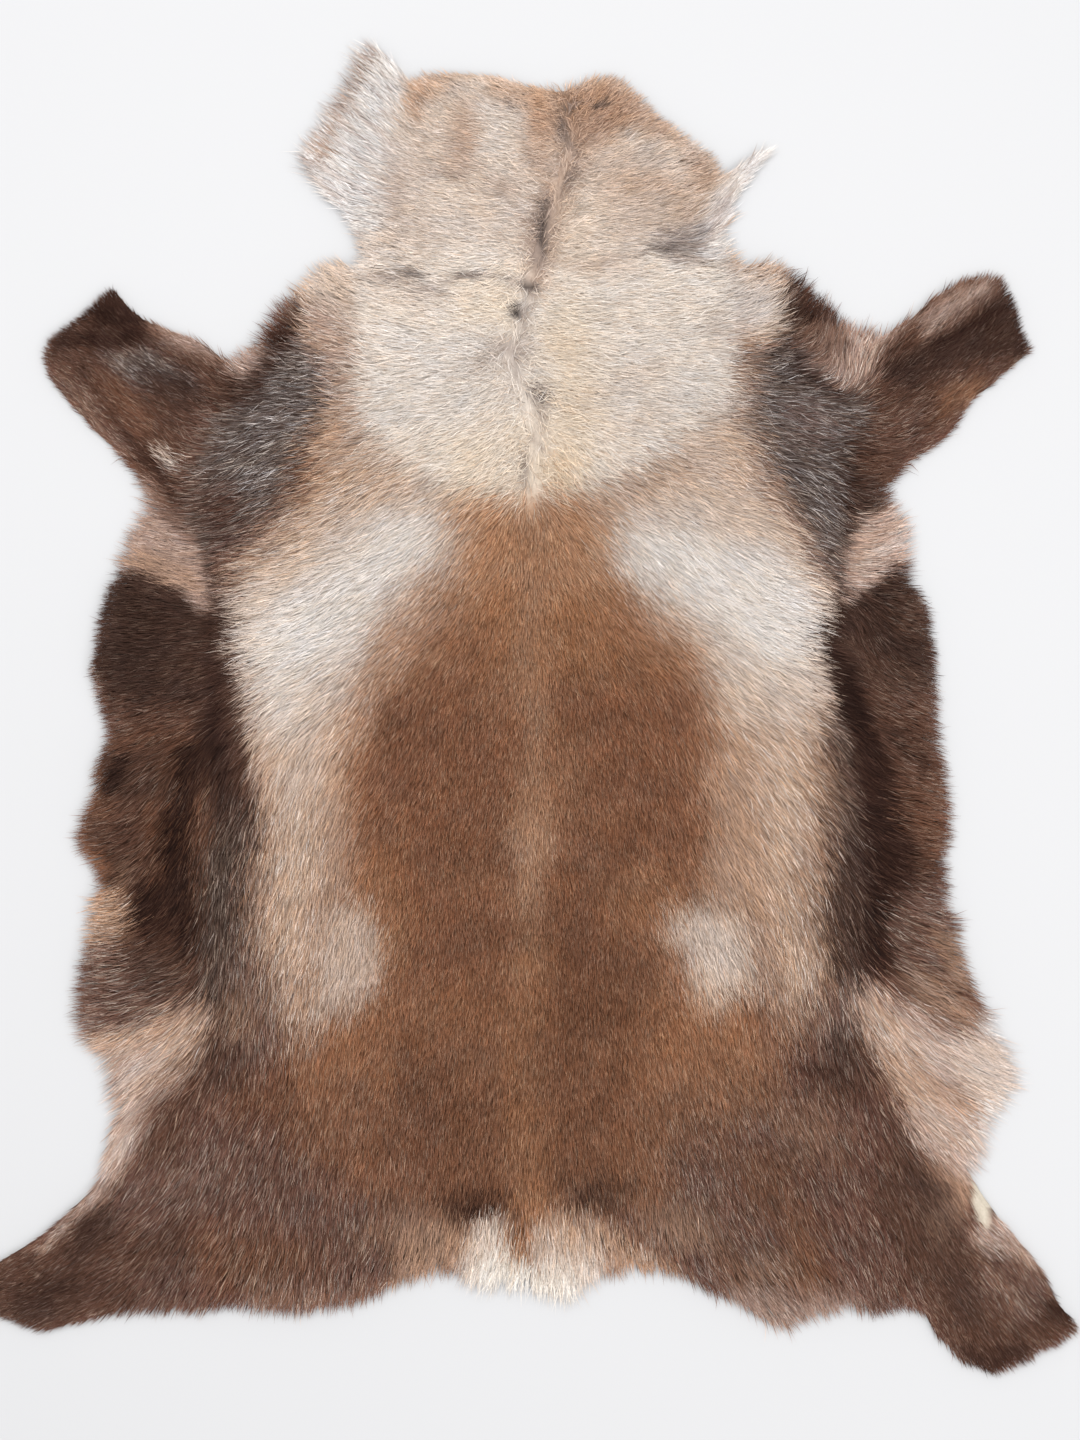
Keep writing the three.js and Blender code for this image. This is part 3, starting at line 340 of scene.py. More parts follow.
    ("spot", "leg", 6, 0.7, (84, 330), (16, 6), -30),
    ("spot", "pitch", 5, 0.7, (106, 318), (12, 7), 20),
    ("spot", "pitch", 5, 0.6, (124, 336), (16, 5), 10),
    ("spot", "smoke", 6, 0.4, (110, 334), (10, 5), 0),
    ("streak", "pitch", 2, 4, 0.5, [(136, 366), (160, 372), (190, 390)]),
    ("streak", "peat", 2, 3, 0.7, [(150, 448), (160, 466), (174, 482)]),
    ("spot", "fawn", 3, 1.0, (164, 457), (5, 15), -38),
    # right fore leg
    ("patch", "leg", 10, 1.0, [(880, 352), (930, 296), (1000, 270), (1030, 354), (990, 384), (950, 426), (905, 460), (890, 500), (860, 470), (870, 400)]),
    ("patch", "mauve", 9, 0.75, [(916, 318), (950, 290), (994, 278), (990, 298), (950, 322), (926, 344)]),
    ("streak", "fawn", 1.5, 4, 0.4, [(926, 330), (950, 308), (984, 288)]),
    ("streak", "leg", 1.5, 4, 0.5, [(934, 332), (956, 312), (990, 294)]),
    ("patch", "smoke", 14, 0.5, [(884, 410), (920, 404), (924, 436), (900, 452), (880, 440)]),
    ("patch", "sable", 9, 0.95, [(880, 368), (920, 346), (970, 318), (1008, 290), (1024, 340), (1028, 356), (990, 356), (940, 376), (900, 392)]),
    ("streak", "peat", 5, 6, 0.9, [(1012, 292), (1018, 320), (1024, 346)]),
    ("streak", "peat", 4, 5, 0.8, [(935, 345), (970, 326), (1006, 308)]),
    ("patch", "ginger", 8, 0.45, [(940, 388), (990, 378), (970, 404), (940, 414)]),
    # left flap: band, dark lobe and brown skirt
    ("patch", "mauve", 7, 1.0, [(140, 480), (156, 488), (178, 512), (196, 540), (212, 590), (206, 612), (180, 594), (150, 572), (120, 566), (128, 548), (140, 520)]),
    ("patch", "leg", 7, 0.6, [(146, 484), (176, 500), (192, 540), (176, 536), (152, 510)]),
    ("patch", "toffee", 6, 0.6, [(124, 548), (160, 552), (196, 578), (206, 600), (170, 584), (128, 562)]),
    ("patch", "sable", 8, 1.0, [(118, 568), (150, 574), (182, 596), (206, 618), (208, 700), (180, 708), (140, 704), (104, 702), (90, 665), (98, 620), (106, 594)]),
    ("patch", "leg", 10, 0.2, [(150, 600), (200, 620), (204, 690), (170, 680)]),
    ("patch", "leg", 10, 0.85, [(104, 704), (206, 700), (204, 740), (186, 760), (150, 742), (108, 740)]),
    ("patch", "umber", 10, 1.0, [(100, 740), (200, 740), (206, 800), (196, 1000), (100, 930), (84, 880), (70, 840)]),
    ("patch", "sable", 12, 0.8, [(98, 748), (166, 746), (168, 800), (140, 806), (100, 796)]),
    ("patch", "leg", 9, 0.8, [(90, 800), (144, 808), (146, 850), (100, 850), (76, 840)]),
    ("patch", "sable", 12, 0.8, [(100, 850), (150, 850), (150, 892), (108, 888)]),
    ("patch", "pitch", 10, 0.95, [(176, 750), (206, 745), (200, 780), (190, 820), (196, 880), (196, 960), (176, 960), (164, 900), (156, 830)]),
    ("patch", "peat", 8, 0.8, [(108, 762), (130, 756), (128, 796), (110, 790)]),
    ("patch", "peat", 9, 0.9, [(136, 880), (166, 886), (172, 940), (150, 946), (132, 930)]),
    ("streak", "pitch", 1.5, 3, 0.8, [(100, 706), (126, 711), (152, 710), (180, 702), (204, 690)]),
    ("streak", "smoke", 2, 4, 0.5, [(108, 718), (134, 722), (160, 722), (186, 716)]),
    ("streak", "pitch", 1.5, 3, 0.7, [(84, 836), (110, 838), (136, 832), (150, 822)]),
    ("spot", "pitch", 5, 0.8, (118, 776), (8, 14), 20),
    ("spot", "pitch", 5, 0.9, (150, 908), (9, 16), 20),
    ("spot", "toffee", 5, 0.5, (128, 876), (14, 5), 60),
    ("spot", "toffee", 5, 0.5, (120, 906), (16, 5), 80),
    ("spot", "smoke", 8, 0.5, (160, 780), (18, 8), 50),
    ("spot", "smoke", 8, 0.4, (130, 800), (18, 6), 20),
    ("patch", "tan", 10, 0.8, [(80, 890), (122, 886), (134, 920), (124, 940), (96, 960), (74, 950)]),
    ("patch", "smoke", 10, 0.9, [(74, 950), (118, 936), (180, 956), (198, 990), (160, 1020), (100, 1040), (72, 1040)]),
    ("patch", "sable", 10, 0.6, [(120, 936), (190, 950), (196, 990), (150, 990), (130, 960)]),
    ("patch", "fringe", 9, 1.0, [(74, 1048), (110, 1026), (160, 1016), (200, 1000), (214, 1010), (208, 1050), (180, 1080), (150, 1110), (120, 1170), (104, 1200), (100, 1150), (110, 1100), (96, 1060)]),
    ("patch", "tan", 9, 0.6, [(74, 1040), (120, 1022), (170, 1020), (150, 1044), (80, 1052)]),
    ("patch", "tan", 10, 0.65, [(166, 1008), (212, 1004), (206, 1056), (176, 1084), (146, 1066)]),
    ("streak", "toffee", 2, 4, 0.6, [(206, 1020), (176, 1056), (146, 1094), (128, 1130)]),
    ("streak", "toffee", 2, 4, 0.5, [(190, 1014), (160, 1036), (126, 1060)]),
    ("streak", "leg", 1.5, 4, 0.4, [(200, 1044), (168, 1084), (142, 1122)]),
    ("streak", "pearl", 3, 5, 0.5, [(184, 1034), (150, 1066), (118, 1086)]),
    ("streak", "pearl", 2, 5, 0.4, [(150, 1090), (130, 1122), (114, 1160)]),
    ("streak", "leg", 4, 6, 0.5, [(196, 1040), (170, 1080), (150, 1100)]),
    ("patch", "leg", 9, 0.9, [(216, 1010), (206, 1060), (166, 1100), (136, 1150), (122, 1186), (150, 1190), (200, 1120), (236, 1060)]),
    # right flap
    ("patch", "blush", 7, 1.0, [(862, 512), (896, 500), (920, 540), (908, 560), (884, 584), (862, 594), (848, 604), (838, 608), (846, 580), (852, 540)]),
    ("streak", "pearl", 3, 5, 0.5, [(866, 566), (888, 548), (912, 534)]),
    ("streak", "toffee", 2, 4, 0.5, [(858, 560), (878, 536), (898, 516)]),
    ("patch", "sable", 8, 1.0, [(886, 584), (900, 562), (918, 580), (934, 618), (938, 680), (930, 706), (876, 706), (850, 664), (838, 640), (846, 606), (866, 592)]),
    ("patch", "leg", 10, 0.6, [(862, 620), (884, 650), (900, 690), (880, 700), (856, 660)]),
    ("patch", "leg", 9, 1.0, [(868, 690), (936, 690), (944, 760), (952, 830), (944, 900), (900, 900), (896, 820), (884, 760)]),
    ("patch", "walnut", 9, 0.3, [(900, 780), (948, 780), (950, 850), (920, 870), (900, 830)]),
    ("patch", "sable", 12, 0.35, [(880, 850), (920, 850), (926, 890), (890, 896)]),
    ("patch", "smoke", 9, 0.4, [(888, 656), (904, 664), (926, 676), (934, 690), (916, 712), (898, 712), (890, 690)]),
    ("streak", "pitch", 2, 4, 0.6, [(886, 720), (900, 744), (930, 756)]),
    ("streak", "pitch", 2, 4, 0.6, [(894, 804), (908, 830), (916, 850), (940, 862)]),
    ("streak", "smoke", 2, 4, 0.5, [(906, 780), (926, 790), (944, 792)]),
    ("spot", "smoke", 8, 0.4, (904, 618), (16, 20), 20),
    ("patch", "peat", 9, 0.95, [(858, 740), (880, 740), (900, 800), (918, 850), (912, 890), (890, 900), (872, 860), (862, 800)]),
    ("patch", "smoke", 10, 0.9, [(900, 890), (950, 884), (966, 940), (990, 1000), (950, 1000), (900, 960), (880, 930)]),
    ("patch", "toffee", 8, 0.5, [(930, 930), (962, 930), (980, 990), (950, 980)]),
    ("patch", "peat", 9, 0.9, [(866, 930), (890, 934), (896, 960), (880, 980), (864, 968)]),
    ("patch", "smoke", 8, 0.7, [(894, 956), (950, 990), (980, 1010), (960, 1030), (900, 1000)]),
    ("patch", "toffee", 9, 0.6, [(900, 980), (930, 976), (964, 1000), (976, 1020), (944, 1014), (912, 1000)]),
    ("streak", "fawn", 1.5, 3, 0.4, [(900, 966), (930, 988), (964, 1006)]),
    ("streak", "peat", 1.5, 3, 0.5, [(892, 970), (920, 994), (950, 1010)]),
    ("patch", "fringe", 9, 1.0, [(853, 1000), (868, 986), (900, 1004), (960, 1030), (1004, 1040), (1016, 1080), (980, 1110), (984, 1150), (970, 1180), (940, 1160), (916, 1140), (900, 1100), (880, 1060), (862, 1030)]),
    ("patch", "tan", 10, 0.65, [(858, 998), (900, 1006), (918, 1056), (924, 1110), (896, 1104), (872, 1050)]),
    ("patch", "fawn", 9, 0.7, [(964, 1040), (1004, 1044), (1016, 1080), (984, 1104), (962, 1086)]),
    ("patch", "toffee", 7, 0.7, [(910, 1056), (930, 1080), (960, 1100), (990, 1104), (970, 1116), (936, 1100), (916, 1084)]),
    ("streak", "leg", 2, 4, 0.5, [(904, 1050), (928, 1078), (956, 1098), (984, 1104)]),
    ("streak", "toffee", 2, 4, 0.6, [(874, 1004), (900, 1034), (930, 1056), (966, 1072)]),
    ("streak", "toffee", 2, 4, 0.5, [(890, 1078), (914, 1104), (944, 1128), (968, 1150)]),
    ("streak", "pearl", 3, 5, 0.6, [(884, 1024), (914, 1052), (950, 1070), (990, 1078)]),
    ("streak", "pearl", 3, 5, 0.5, [(910, 1096), (938, 1120), (966, 1140)]),
    ("streak", "leg", 4, 6, 0.6, [(858, 1030), (876, 1070), (900, 1110), (916, 1150)]),
    ("patch", "toffee", 8, 0.7, [(916, 1160), (966, 1172), (972, 1200), (960, 1220), (930, 1196)]),
    # right hind leg
    ("patch", "leg", 12, 0.9, [(880, 1100), (916, 1150), (940, 1180), (972, 1232), (1050, 1260), (1080, 1300), (1060, 1350), (960, 1370), (920, 1300), (880, 1230)]),
    ("patch", "sable", 12, 0.45, [(898, 1110), (920, 1150), (944, 1200), (972, 1260), (980, 1330), (950, 1310), (930, 1240), (900, 1180)]),
    ("patch", "fringe", 10, 0.85, [(976, 1236), (990, 1208), (1014, 1214), (1040, 1246), (1044, 1266), (1012, 1262), (986, 1252)]),
    ("streak", "leg", 1.5, 3, 0.5, [(994, 1226), (1010, 1248), (1024, 1272)]),
    ("patch", "smoke", 9, 0.7, [(1000, 1256), (1040, 1276), (1056, 1304), (1040, 1310), (1010, 1280)]),
    ("patch", "smoke", 10, 0.9, [(970, 1256), (1024, 1276), (1040, 1310), (1010, 1324), (984, 1300)]),
    ("streak", "tan", 1.5, 4, 0.5, [(976, 1256), (1000, 1284), (1020, 1316)]),
    ("streak", "peat", 1.5, 4, 0.5, [(990, 1290), (1010, 1326), (1018, 1350)]),
    ("spot", "toffee", 14, 0.35, (940, 1220), (12, 22), -20),
    ("patch", "peat", 8, 0.8, [(1040, 1300), (1060, 1296), (1078, 1310), (1070, 1330), (1050, 1320)]),
    ("patch", "peat", 8, 0.7, [(960, 1350), (1000, 1346), (1032, 1352), (1020, 1364), (990, 1376), (968, 1370)]),
    # left hind leg
    ("patch", "leg", 12, 0.9, [(-30, 1254), (50, 1240), (100, 1200), (122, 1188), (160, 1200), (200, 1240), (180, 1310), (100, 1320), (-30, 1330)]),
    ("patch", "sable", 12, 0.6, [(10, 1284), (60, 1272), (90, 1276), (84, 1310), (40, 1326), (10, 1320)]),
    ("patch", "smoke", 14, 0.5, [(124, 1264), (180, 1260), (190, 1310), (130, 1312)]),
    ("streak", "pitch", 1.5, 3, 0.5, [(36, 1300), (70, 1288), (104, 1282)]),
    ("patch", "sable", 9, 0.7, [(96, 1210), (124, 1186), (128, 1216), (110, 1240), (80, 1262), (66, 1250)]),
    ("patch", "fringe", 7, 0.8, [(22, 1246), (60, 1226), (96, 1190), (100, 1198), (74, 1226), (40, 1250)]),
    ("patch", "smoke", 10, 0.6, [(110, 1180), (160, 1160), (200, 1180), (160, 1230), (116, 1226)]),
    # tail and the white hair round it
    ("patch", "toffee", 10, 0.8, [(400, 1238), (450, 1216), (486, 1214), (470, 1262), (430, 1276), (396, 1276)]),
    ("patch", "fawn", 9, 1.0, [(472, 1224), (492, 1212), (508, 1218), (520, 1236), (536, 1258), (540, 1224), (560, 1222), (590, 1236), (606, 1256), (616, 1276), (600, 1330), (440, 1330), (450, 1290), (456, 1262), (466, 1250)]),
    ("patch", "snow", 10, 0.9, [(480, 1250), (500, 1244), (530, 1262), (556, 1256), (580, 1268), (580, 1330), (460, 1330), (466, 1280)]),
    ("spot", "tan", 14, 0.35, (488, 1244), (24, 12), 0),
    ("spot", "tan", 12, 0.25, (560, 1262), (20, 8), 0),
    ("patch", "tan", 10, 0.85, [(540, 1208), (576, 1210), (610, 1232), (600, 1252), (570, 1250), (546, 1246)]),
    ("patch", "tan", 10, 0.8, [(596, 1226), (640, 1238), (690, 1276), (650, 1276), (606, 1264)]),
    ("patch", "ginger", 6, 1.0, [(508, 1180), (548, 1180), (542, 1212), (538, 1250), (527, 1264), (518, 1252), (518, 1226)]),
    ("spot", "umber", 8, 0.5, (526, 1232), (7, 24), 0),
]


def smooth(x):
    x = np.clip(x, 0.0, 1.0)
    return x * x * (3 - 2 * x)


def inside(u, v, pts):
    hit = np.zeros(u.shape, bool)
    n = len(pts)
    for i in range(n):
        (x1, y1), (x2, y2) = pts[i], pts[(i + 1) % n]
        if y1 == y2:
            continue
        over = (y1 > v) != (y2 > v)
        hit ^= over & (u < (x2 - x1) * (v - y1) / (y2 - y1) + x1)
    return hit


def to_line(u, v, pts):
    best = np.full(u.shape, 1e9)
    for (x1, y1), (x2, y2) in zip(pts, pts[1:]):
        dx, dy = x2 - x1, y2 - y1
        t = np.clip(((u - x1) * dx + (v - y1) * dy) / max(dx * dx + dy * dy, 1e-9), 0, 1)
        best = np.minimum(best, np.hypot(u - x1 - t * dx, v - y1 - t * dy))
    return best


def reached(mark, u, v):
    """The points near enough to a mark for it to touch them."""
    if mark[0] == "spot":
        (cu, cv), (ru, rv) = mark[4], mark[5]
        far = max(ru, rv) + mark[2]
        return (abs(u - cu) < far) & (abs(v - cv) < far)
    pts = mark[-1]
    far = mark[2] if mark[0] == "patch" else mark[2] + mark[3]
    us, vs = [p[0] for p in pts], [p[1] for p in pts]
    return (u > min(us) - far) & (u < max(us) + far) & (v > min(vs) - far) & (v < max(vs) + far)


def cover(mark, u, v):
    """How much of a mark lies on each point, from 0 to its strength."""
    kind = mark[0]
    if kind == "patch":
        _, tone, soft, strength, pts = mark
        d = to_line(u, v, pts + pts[:1])
        d = np.where(inside(u, v, pts), -d, d)
        return strength * smooth(0.5 - d / (2 * soft))
    if kind == "streak":
        _, tone, half, soft, strength, pts = mark
        return strength * smooth(0.5 - (to_line(u, v, pts) - half) / (2 * soft))
    _, tone, soft, strength, (cu, cv), (ru, rv), turn = mark
    a = math.radians(turn)
    du, dv = u - cu, v - cv
    p, q = du * math.cos(a) + dv * math.sin(a), -du * math.sin(a) + dv * math.cos(a)
    d = (np.hypot(p / ru, q / rv) - 1) * min(ru, rv)
    return strength * smooth(0.5 - d / (2 * soft))


def hashed(i, j, k):
    h = (i.astype(np.int64) * 73856093) ^ (j.astype(np.int64) * 19349663) ^ (k * 83492791)
    h = (h ^ (h >> 13)) * 1274126177 & 0x7FFFFFFF
    return ((h ^ (h >> 16)) & 0xFFFF) / 65535.0


def noise(u, v, size, seed=0):
    """Smooth noise from -1 to 1, with lumps of that size."""
    x, y = u / size, v / size
    i, j = np.floor(x), np.floor(y)
    a, b = smooth(x - i), smooth(y - j)
    n = [hashed(i + di, j + dj, seed + 1) for dj in (0, 1) for di in (0, 1)]
    return 2 * ((n[0] * (1 - a) + n[1] * a) * (1 - b) + (n[2] * (1 - a) + n[3] * a) * b) - 1


def paint(u, v):
    waver = 0.35 + 0.65 * smooth((v - 480) / 80) + 0.7 * smooth((v - 520) / 60) * smooth((u - 270) / 60) * smooth((790 - u) / 60)
    wu = u + waver * (5 * noise(u, v, 46, 1) + 4 * noise(u, v, 17, 2) + 2.5 * noise(u, v, 7, 3))
    wv = v + waver * (5 * noise(u, v, 46, 4) + 4 * noise(u, v, 17, 5) + 2.5 * noise(u, v, 7, 6))
    out = np.zeros(u.shape + (8,))
    for mark in MARKS:
        base, odd, share, uneven = TONES[mark[1]]
        row = np.array([*(c / 255 for c in base), *(c / 255 for c in odd), share, uneven])
        near = reached(mark, wu, wv)
        if near.any():
            a = cover(mark, wu[near], wv[near])
            out[near] += a[..., None] * (row - out[near])
    return out


# ---- the lie of the hair: (across, down, heading, run, reach) ----
# heading is in degrees, 0 to the right, 90 down the board, 180 to the left; run is how far a hair
# reaches along the coat in mm; reach is how far round it the entry holds
LIE = [
    # head, left of the parting
    (520, 95, 205, 17, 26), (545, 110, 190, 16, 20), (440, 92, 212, 18, 26), (410, 96, 235, 18, 16), (470, 140, 195, 19, 34), (425, 150, 197, 20, 30), (515, 160, 188, 20, 30),
    (430, 215, 187, 22, 34), (500, 215, 182, 22, 30), (540, 190, 165, 22, 16), (530, 225, 196, 22, 14), (526, 262, 178, 23, 14),
    # ear flap and ear lock
    (350, 120, 216, 36, 26), (375, 62, 230, 32, 22), (320, 150, 212, 34, 20), (345, 195, 202, 34, 22), (395, 130, 218, 26, 18), (380, 225, 196, 24, 22),
    (740, 180, 312, 30, 20), (768, 150, 324, 34, 18), (722, 215, 300, 28, 18),
    # head, right of the parting
    (570, 110, 330, 18, 22), (605, 100, 318, 17, 22), (650, 115, 330, 18, 26), (700, 165, 338, 19, 26), (600, 150, 345, 19, 28), (650, 170, 346, 20, 32),
    (600, 210, 356, 22, 32), (660, 215, 345, 22, 26), (695, 225, 325, 26, 18), (680, 262, 12, 26, 18), (650, 255, 355, 24, 22), (572, 185, 350, 20, 14), (556, 225, 338, 22, 14), (566, 250, 2, 22, 18),
    # neck and chest
    (385, 275, 186, 26, 26), (450, 272, 178, 24, 26), (500, 280, 172, 22, 22), (400, 340, 181, 25, 34), (480, 340, 176, 24, 32), (400, 420, 166, 25, 34), (470, 420, 158, 24, 32), (505, 380, 168, 22, 22), (500, 470, 138, 24, 26), (440, 480, 146, 25, 28),
    (600, 275, 2, 24, 28), (660, 300, 2, 24, 28), (720, 290, 345, 25, 26), (560, 310, 8, 22, 22), (620, 350, 6, 24, 34), (700, 350, 3, 25, 32), (570, 400, 20, 23, 26), (640, 430, 16, 24, 32), (700, 425, 12, 25, 28), (560, 475, 44, 24, 26), (640, 490, 28, 25, 28),
    # shoulders
    (330, 282, 224, 30, 20), (350, 325, 198, 26, 22), (290, 305, 226, 30, 18), (268, 338, 228, 32, 16), (240, 350, 238, 34, 16), (250, 372, 205, 26, 16), (300, 370, 180, 26, 24), (330, 420, 172, 26, 26), (260, 415, 168, 27, 28), (290, 470, 156, 28, 28), (230, 470, 160, 28, 26), (220, 520, 166, 28, 24), (345, 470, 156, 26, 26), (370, 500, 152, 26, 26),
    (745, 280, 330, 28, 22), (785, 285, 322, 30, 18), (812, 308, 312, 28, 16), (830, 340, 284, 26, 16), (870, 345, 300, 30, 16), (850, 372, 262, 24, 16), (790, 360, 350, 26, 18), (740, 330, 352, 26, 22), (760, 390, 8, 26, 28), (810, 420, 11, 27, 28), (855, 440, 18, 27, 24), (760, 460, 22, 26, 28), (810, 490, 28, 28, 26), (845, 530, 30, 28, 22), (730, 500, 28, 26, 28), (780, 540, 28, 28, 24),
    # left fore leg
    (195, 385, 206, 18, 30), (140, 370, 208, 15, 28), (90, 345, 205, 12, 22), (62, 350, 214, 12, 16), (110, 300, 240, 11, 18), (180, 345, 210, 18, 18), (120, 415, 216, 15, 24), (90, 395, 226, 15, 18), (165, 450, 212, 18, 22), (150, 480, 205, 22, 16),
    # right fore leg
    (900, 400, 328, 18, 28), (945, 370, 320, 15, 26), (990, 320, 318, 12, 22), (1015, 320, 312, 11, 16), (950, 300, 312, 22, 20), (990, 280, 316, 18, 18), (915, 325, 308, 24, 18), (950, 410, 326, 16, 22), (900, 445, 338, 18, 22), (1010, 355, 330, 13, 16), (885, 480, 350, 22, 20),
    # arm pits
    (150, 510, 192, 32, 18), (185, 540, 198, 32, 18), (140, 555, 196, 34, 16), (190, 590, 204, 34, 16), (165, 570, 203, 34, 14),
    (880, 525, 325, 32, 18), (898, 545, 338, 34, 16), (870, 560, 350, 32, 16), (860, 590, 12, 30, 14), (890, 575, 352, 32, 14),
    # left flap
    (125, 600, 178, 18, 24), (120, 660, 176, 17, 26), (170, 640, 176, 20, 26), (180, 690, 158, 22, 24), (120, 715, 170, 22, 22), (160, 740, 146, 24, 22), (120, 780, 150, 26, 22), (90, 820, 172, 24, 20), (150, 820, 140, 24, 24), (185, 800, 104, 22, 24), (100, 860, 168, 26, 20), (150, 880, 134, 24, 22), (95, 910, 182, 28, 20), (160, 930, 150, 24, 22), (100, 970, 178, 28, 24), (160, 980, 162, 28, 24), (185, 890, 106, 22, 24),
    # right flap
    (850, 625, 92, 20, 14), (866, 614, 60, 20, 14), (890, 610, 18, 20, 18), (915, 620, 12, 18, 20), (875, 650, 64, 20, 18), (915, 670, 16, 20, 24), (880, 700, 34, 22, 22), (925, 720, 12, 26, 22), (900, 760, 24, 24, 24), (930, 800, 6, 24, 24), (905, 830, 20, 24, 22), (935, 860, 358, 24, 22), (900, 890, 20, 26, 22), (940, 920, 14, 28, 24), (900, 950, 30, 28, 22), (965, 970, 22, 28, 24), (930, 1000, 28, 32, 24),
    # white panels and the flank line
    (430, 520, 148, 26, 24), (380, 550, 150, 28, 28), (330, 560, 156, 29, 26), (280, 590, 166, 31, 26), (240, 590, 176, 32, 20), (232, 625, 177, 34, 18), (245, 660, 162, 34, 18), (290, 640, 158, 31, 26), (345, 620, 146, 29, 28), (250, 700, 146, 34, 20), (300, 690, 142, 31, 26), (262, 740, 130, 33, 20), (215, 640, 176, 24, 14), (222, 700, 150, 26, 14), (225, 745, 124, 26, 16), (215, 580, 172, 26, 16),
    (640, 530, 34, 26, 28), (700, 540, 30, 28, 28), (760, 560, 27, 29, 26), (805, 590, 20, 31, 22), (820, 630, 10, 33, 18), (800, 650, 20, 32, 20), (750, 630, 30, 30, 26), (700, 620, 40, 28, 26), (826, 680, 14, 33, 18), (790, 700, 32, 31, 22), (740, 700, 44, 30, 26), (838, 660, 14, 26, 14), (846, 710, 26, 28, 16), (834, 600, 24, 26, 14),
    # sides
    (300, 780, 118, 28, 28), (350, 790, 116, 26, 26), (245, 790, 112, 28, 20), (215, 790, 108, 24, 20), (270, 860, 102, 27, 28), (220, 860, 99, 24, 26), (330, 870, 106, 26, 26), (240, 940, 98, 25, 28), (320, 950, 102, 26, 28), (230, 1020, 99, 25, 26), (300, 1030, 98, 26, 28),
    (770, 770, 54, 29, 26), (720, 770, 60, 27, 26), (820, 760, 46, 30, 20), (858, 760, 48, 30, 16), (750, 850, 66, 28, 28), (810, 840, 60, 28, 24), (860, 850, 60, 28, 18), (780, 920, 68, 28, 26), (840, 930, 70, 27, 22), (720, 950, 72, 27, 26), (800, 1000, 77, 27, 26), (845, 1010, 80, 26, 20),
    # back
    (460, 560, 122, 16, 26), (420, 610, 130, 18, 28), (390, 670, 126, 17, 28), (480, 640, 104, 13, 28), (430, 730, 108, 13, 32), (390, 800, 108, 15, 32), (480, 760, 96, 12, 30), (440, 860, 98, 12, 34), (390, 930, 103, 15, 30), (480, 940, 94, 12, 34), (420, 1010, 98, 13, 34), (500, 1050, 93, 13, 34),
    (600, 555, 58, 16, 26), (640, 600, 52, 18, 26), (670, 660, 54, 17, 28), (580, 640, 74, 13, 28), (640, 730, 70, 13, 32), (680, 800, 70, 15, 30), (580, 760, 84, 12, 30), (630, 860, 80, 12, 34), (670, 910, 74, 15, 28), (580, 940, 86, 12, 34), (640, 1000, 80, 13, 34), (570, 1050, 87, 13, 34),
    (530, 540, 92, 14, 18), (530, 640, 90, 12, 18), (530, 740, 90, 12, 18), (530, 840, 90, 12, 18), (530, 940, 90, 12, 18), (530, 1060, 90, 14, 22), (530, 1150, 90, 16, 24),
    # rump and hind legs
    (340, 1090, 99, 17, 30), (280, 1120, 104, 19, 28), (230, 1110, 110, 21, 26), (400, 1120, 96, 15, 32), (450, 1160, 93, 16, 28), (350, 1190, 98, 19, 30), (280, 1210, 104, 25, 28), (220, 1180, 112, 24, 26), (175, 1160, 118, 22, 24), (400, 1240, 97, 26, 26), (330, 1270, 102, 26, 26), (260, 1280, 108, 26, 26), (200, 1260, 118, 24, 26), (150, 1230, 132, 20, 26), (100, 1260, 146, 17, 24), (50, 1280, 154, 15, 24), (0, 1290, 158, 14, 24), (150, 1295, 126, 22, 22), (80, 1300, 148, 18, 20), (60, 1245, 150, 15, 18), (110, 1200, 134, 16, 18), (140, 1160, 122, 20, 18),
    (650, 1070, 82, 15, 30), (720, 1070, 77, 17, 28), (790, 1090, 74, 20, 26), (840, 1100, 70, 22, 22), (600, 1140, 86, 16, 30), (680, 1160, 78, 18, 30), (760, 1170, 70, 20, 28), (830, 1170, 66, 24, 26), (650, 1230, 80, 25, 26), (720, 1240, 66, 26, 26), (790, 1250, 62, 26, 26), (850, 1250, 70, 25, 24), (760, 1290, 58, 28, 22), (880, 1200, 64, 22, 22), (900, 1260, 68, 21, 22), (940, 1230, 58, 18, 22), (960, 1290, 56, 16, 24), (1000, 1320, 52, 15, 24), (1010, 1270, 46, 18, 22), (1005, 1235, 40, 22, 16), (1050, 1300, 44, 14, 20), (950, 1340, 68, 16, 20), (1000, 1350, 58, 15, 18), (875, 1130, 66, 22, 18), (930, 1180, 60, 20, 18), (960, 1200, 52, 18, 16),
    # pale fringes behind the flaps
    (200, 1015, 134, 34, 16), (150, 1035, 148, 38, 20), (100, 1035, 162, 34, 18), (180, 1060, 132, 38, 18), (130, 1080, 138, 42, 20), (120, 1130, 120, 38, 18), (110, 1175, 118, 26, 16), (90, 1000, 172, 30, 20),
    (870, 1010, 48, 34, 16), (900, 1045, 42, 40, 20), (950, 1050, 30, 42, 22), (990, 1070, 24, 42, 18), (930, 1095, 38, 40, 20), (980, 1095, 20, 40, 16), (960, 1140, 46, 38, 18), (900, 1100, 54, 34, 16), (950, 1180, 48, 24, 16),
    # tail and the white hair round it
    (490, 1235, 95, 38, 16), (500, 1260, 94, 40, 18), (525, 1230, 90, 24, 10), (555, 1235, 86, 36, 16), (565, 1262, 84, 40, 18), (465, 1262, 100, 38, 16), (600, 1255, 78, 34, 18), (440, 1250, 101, 30, 18), (640, 1258, 70, 28, 20), (470, 1210, 98, 26, 14), (590, 1212, 82, 26, 14),
]

# the parting that runs down the head and neck, (across, down); the hair falls away from it to both sides
PARTING = [(556, -40), (562, 80), (573, 135), (562, 185), (545, 235), (531, 280), (519, 320), (508, 360), (526, 398), (540, 425), (530, 470), (530, 505)]

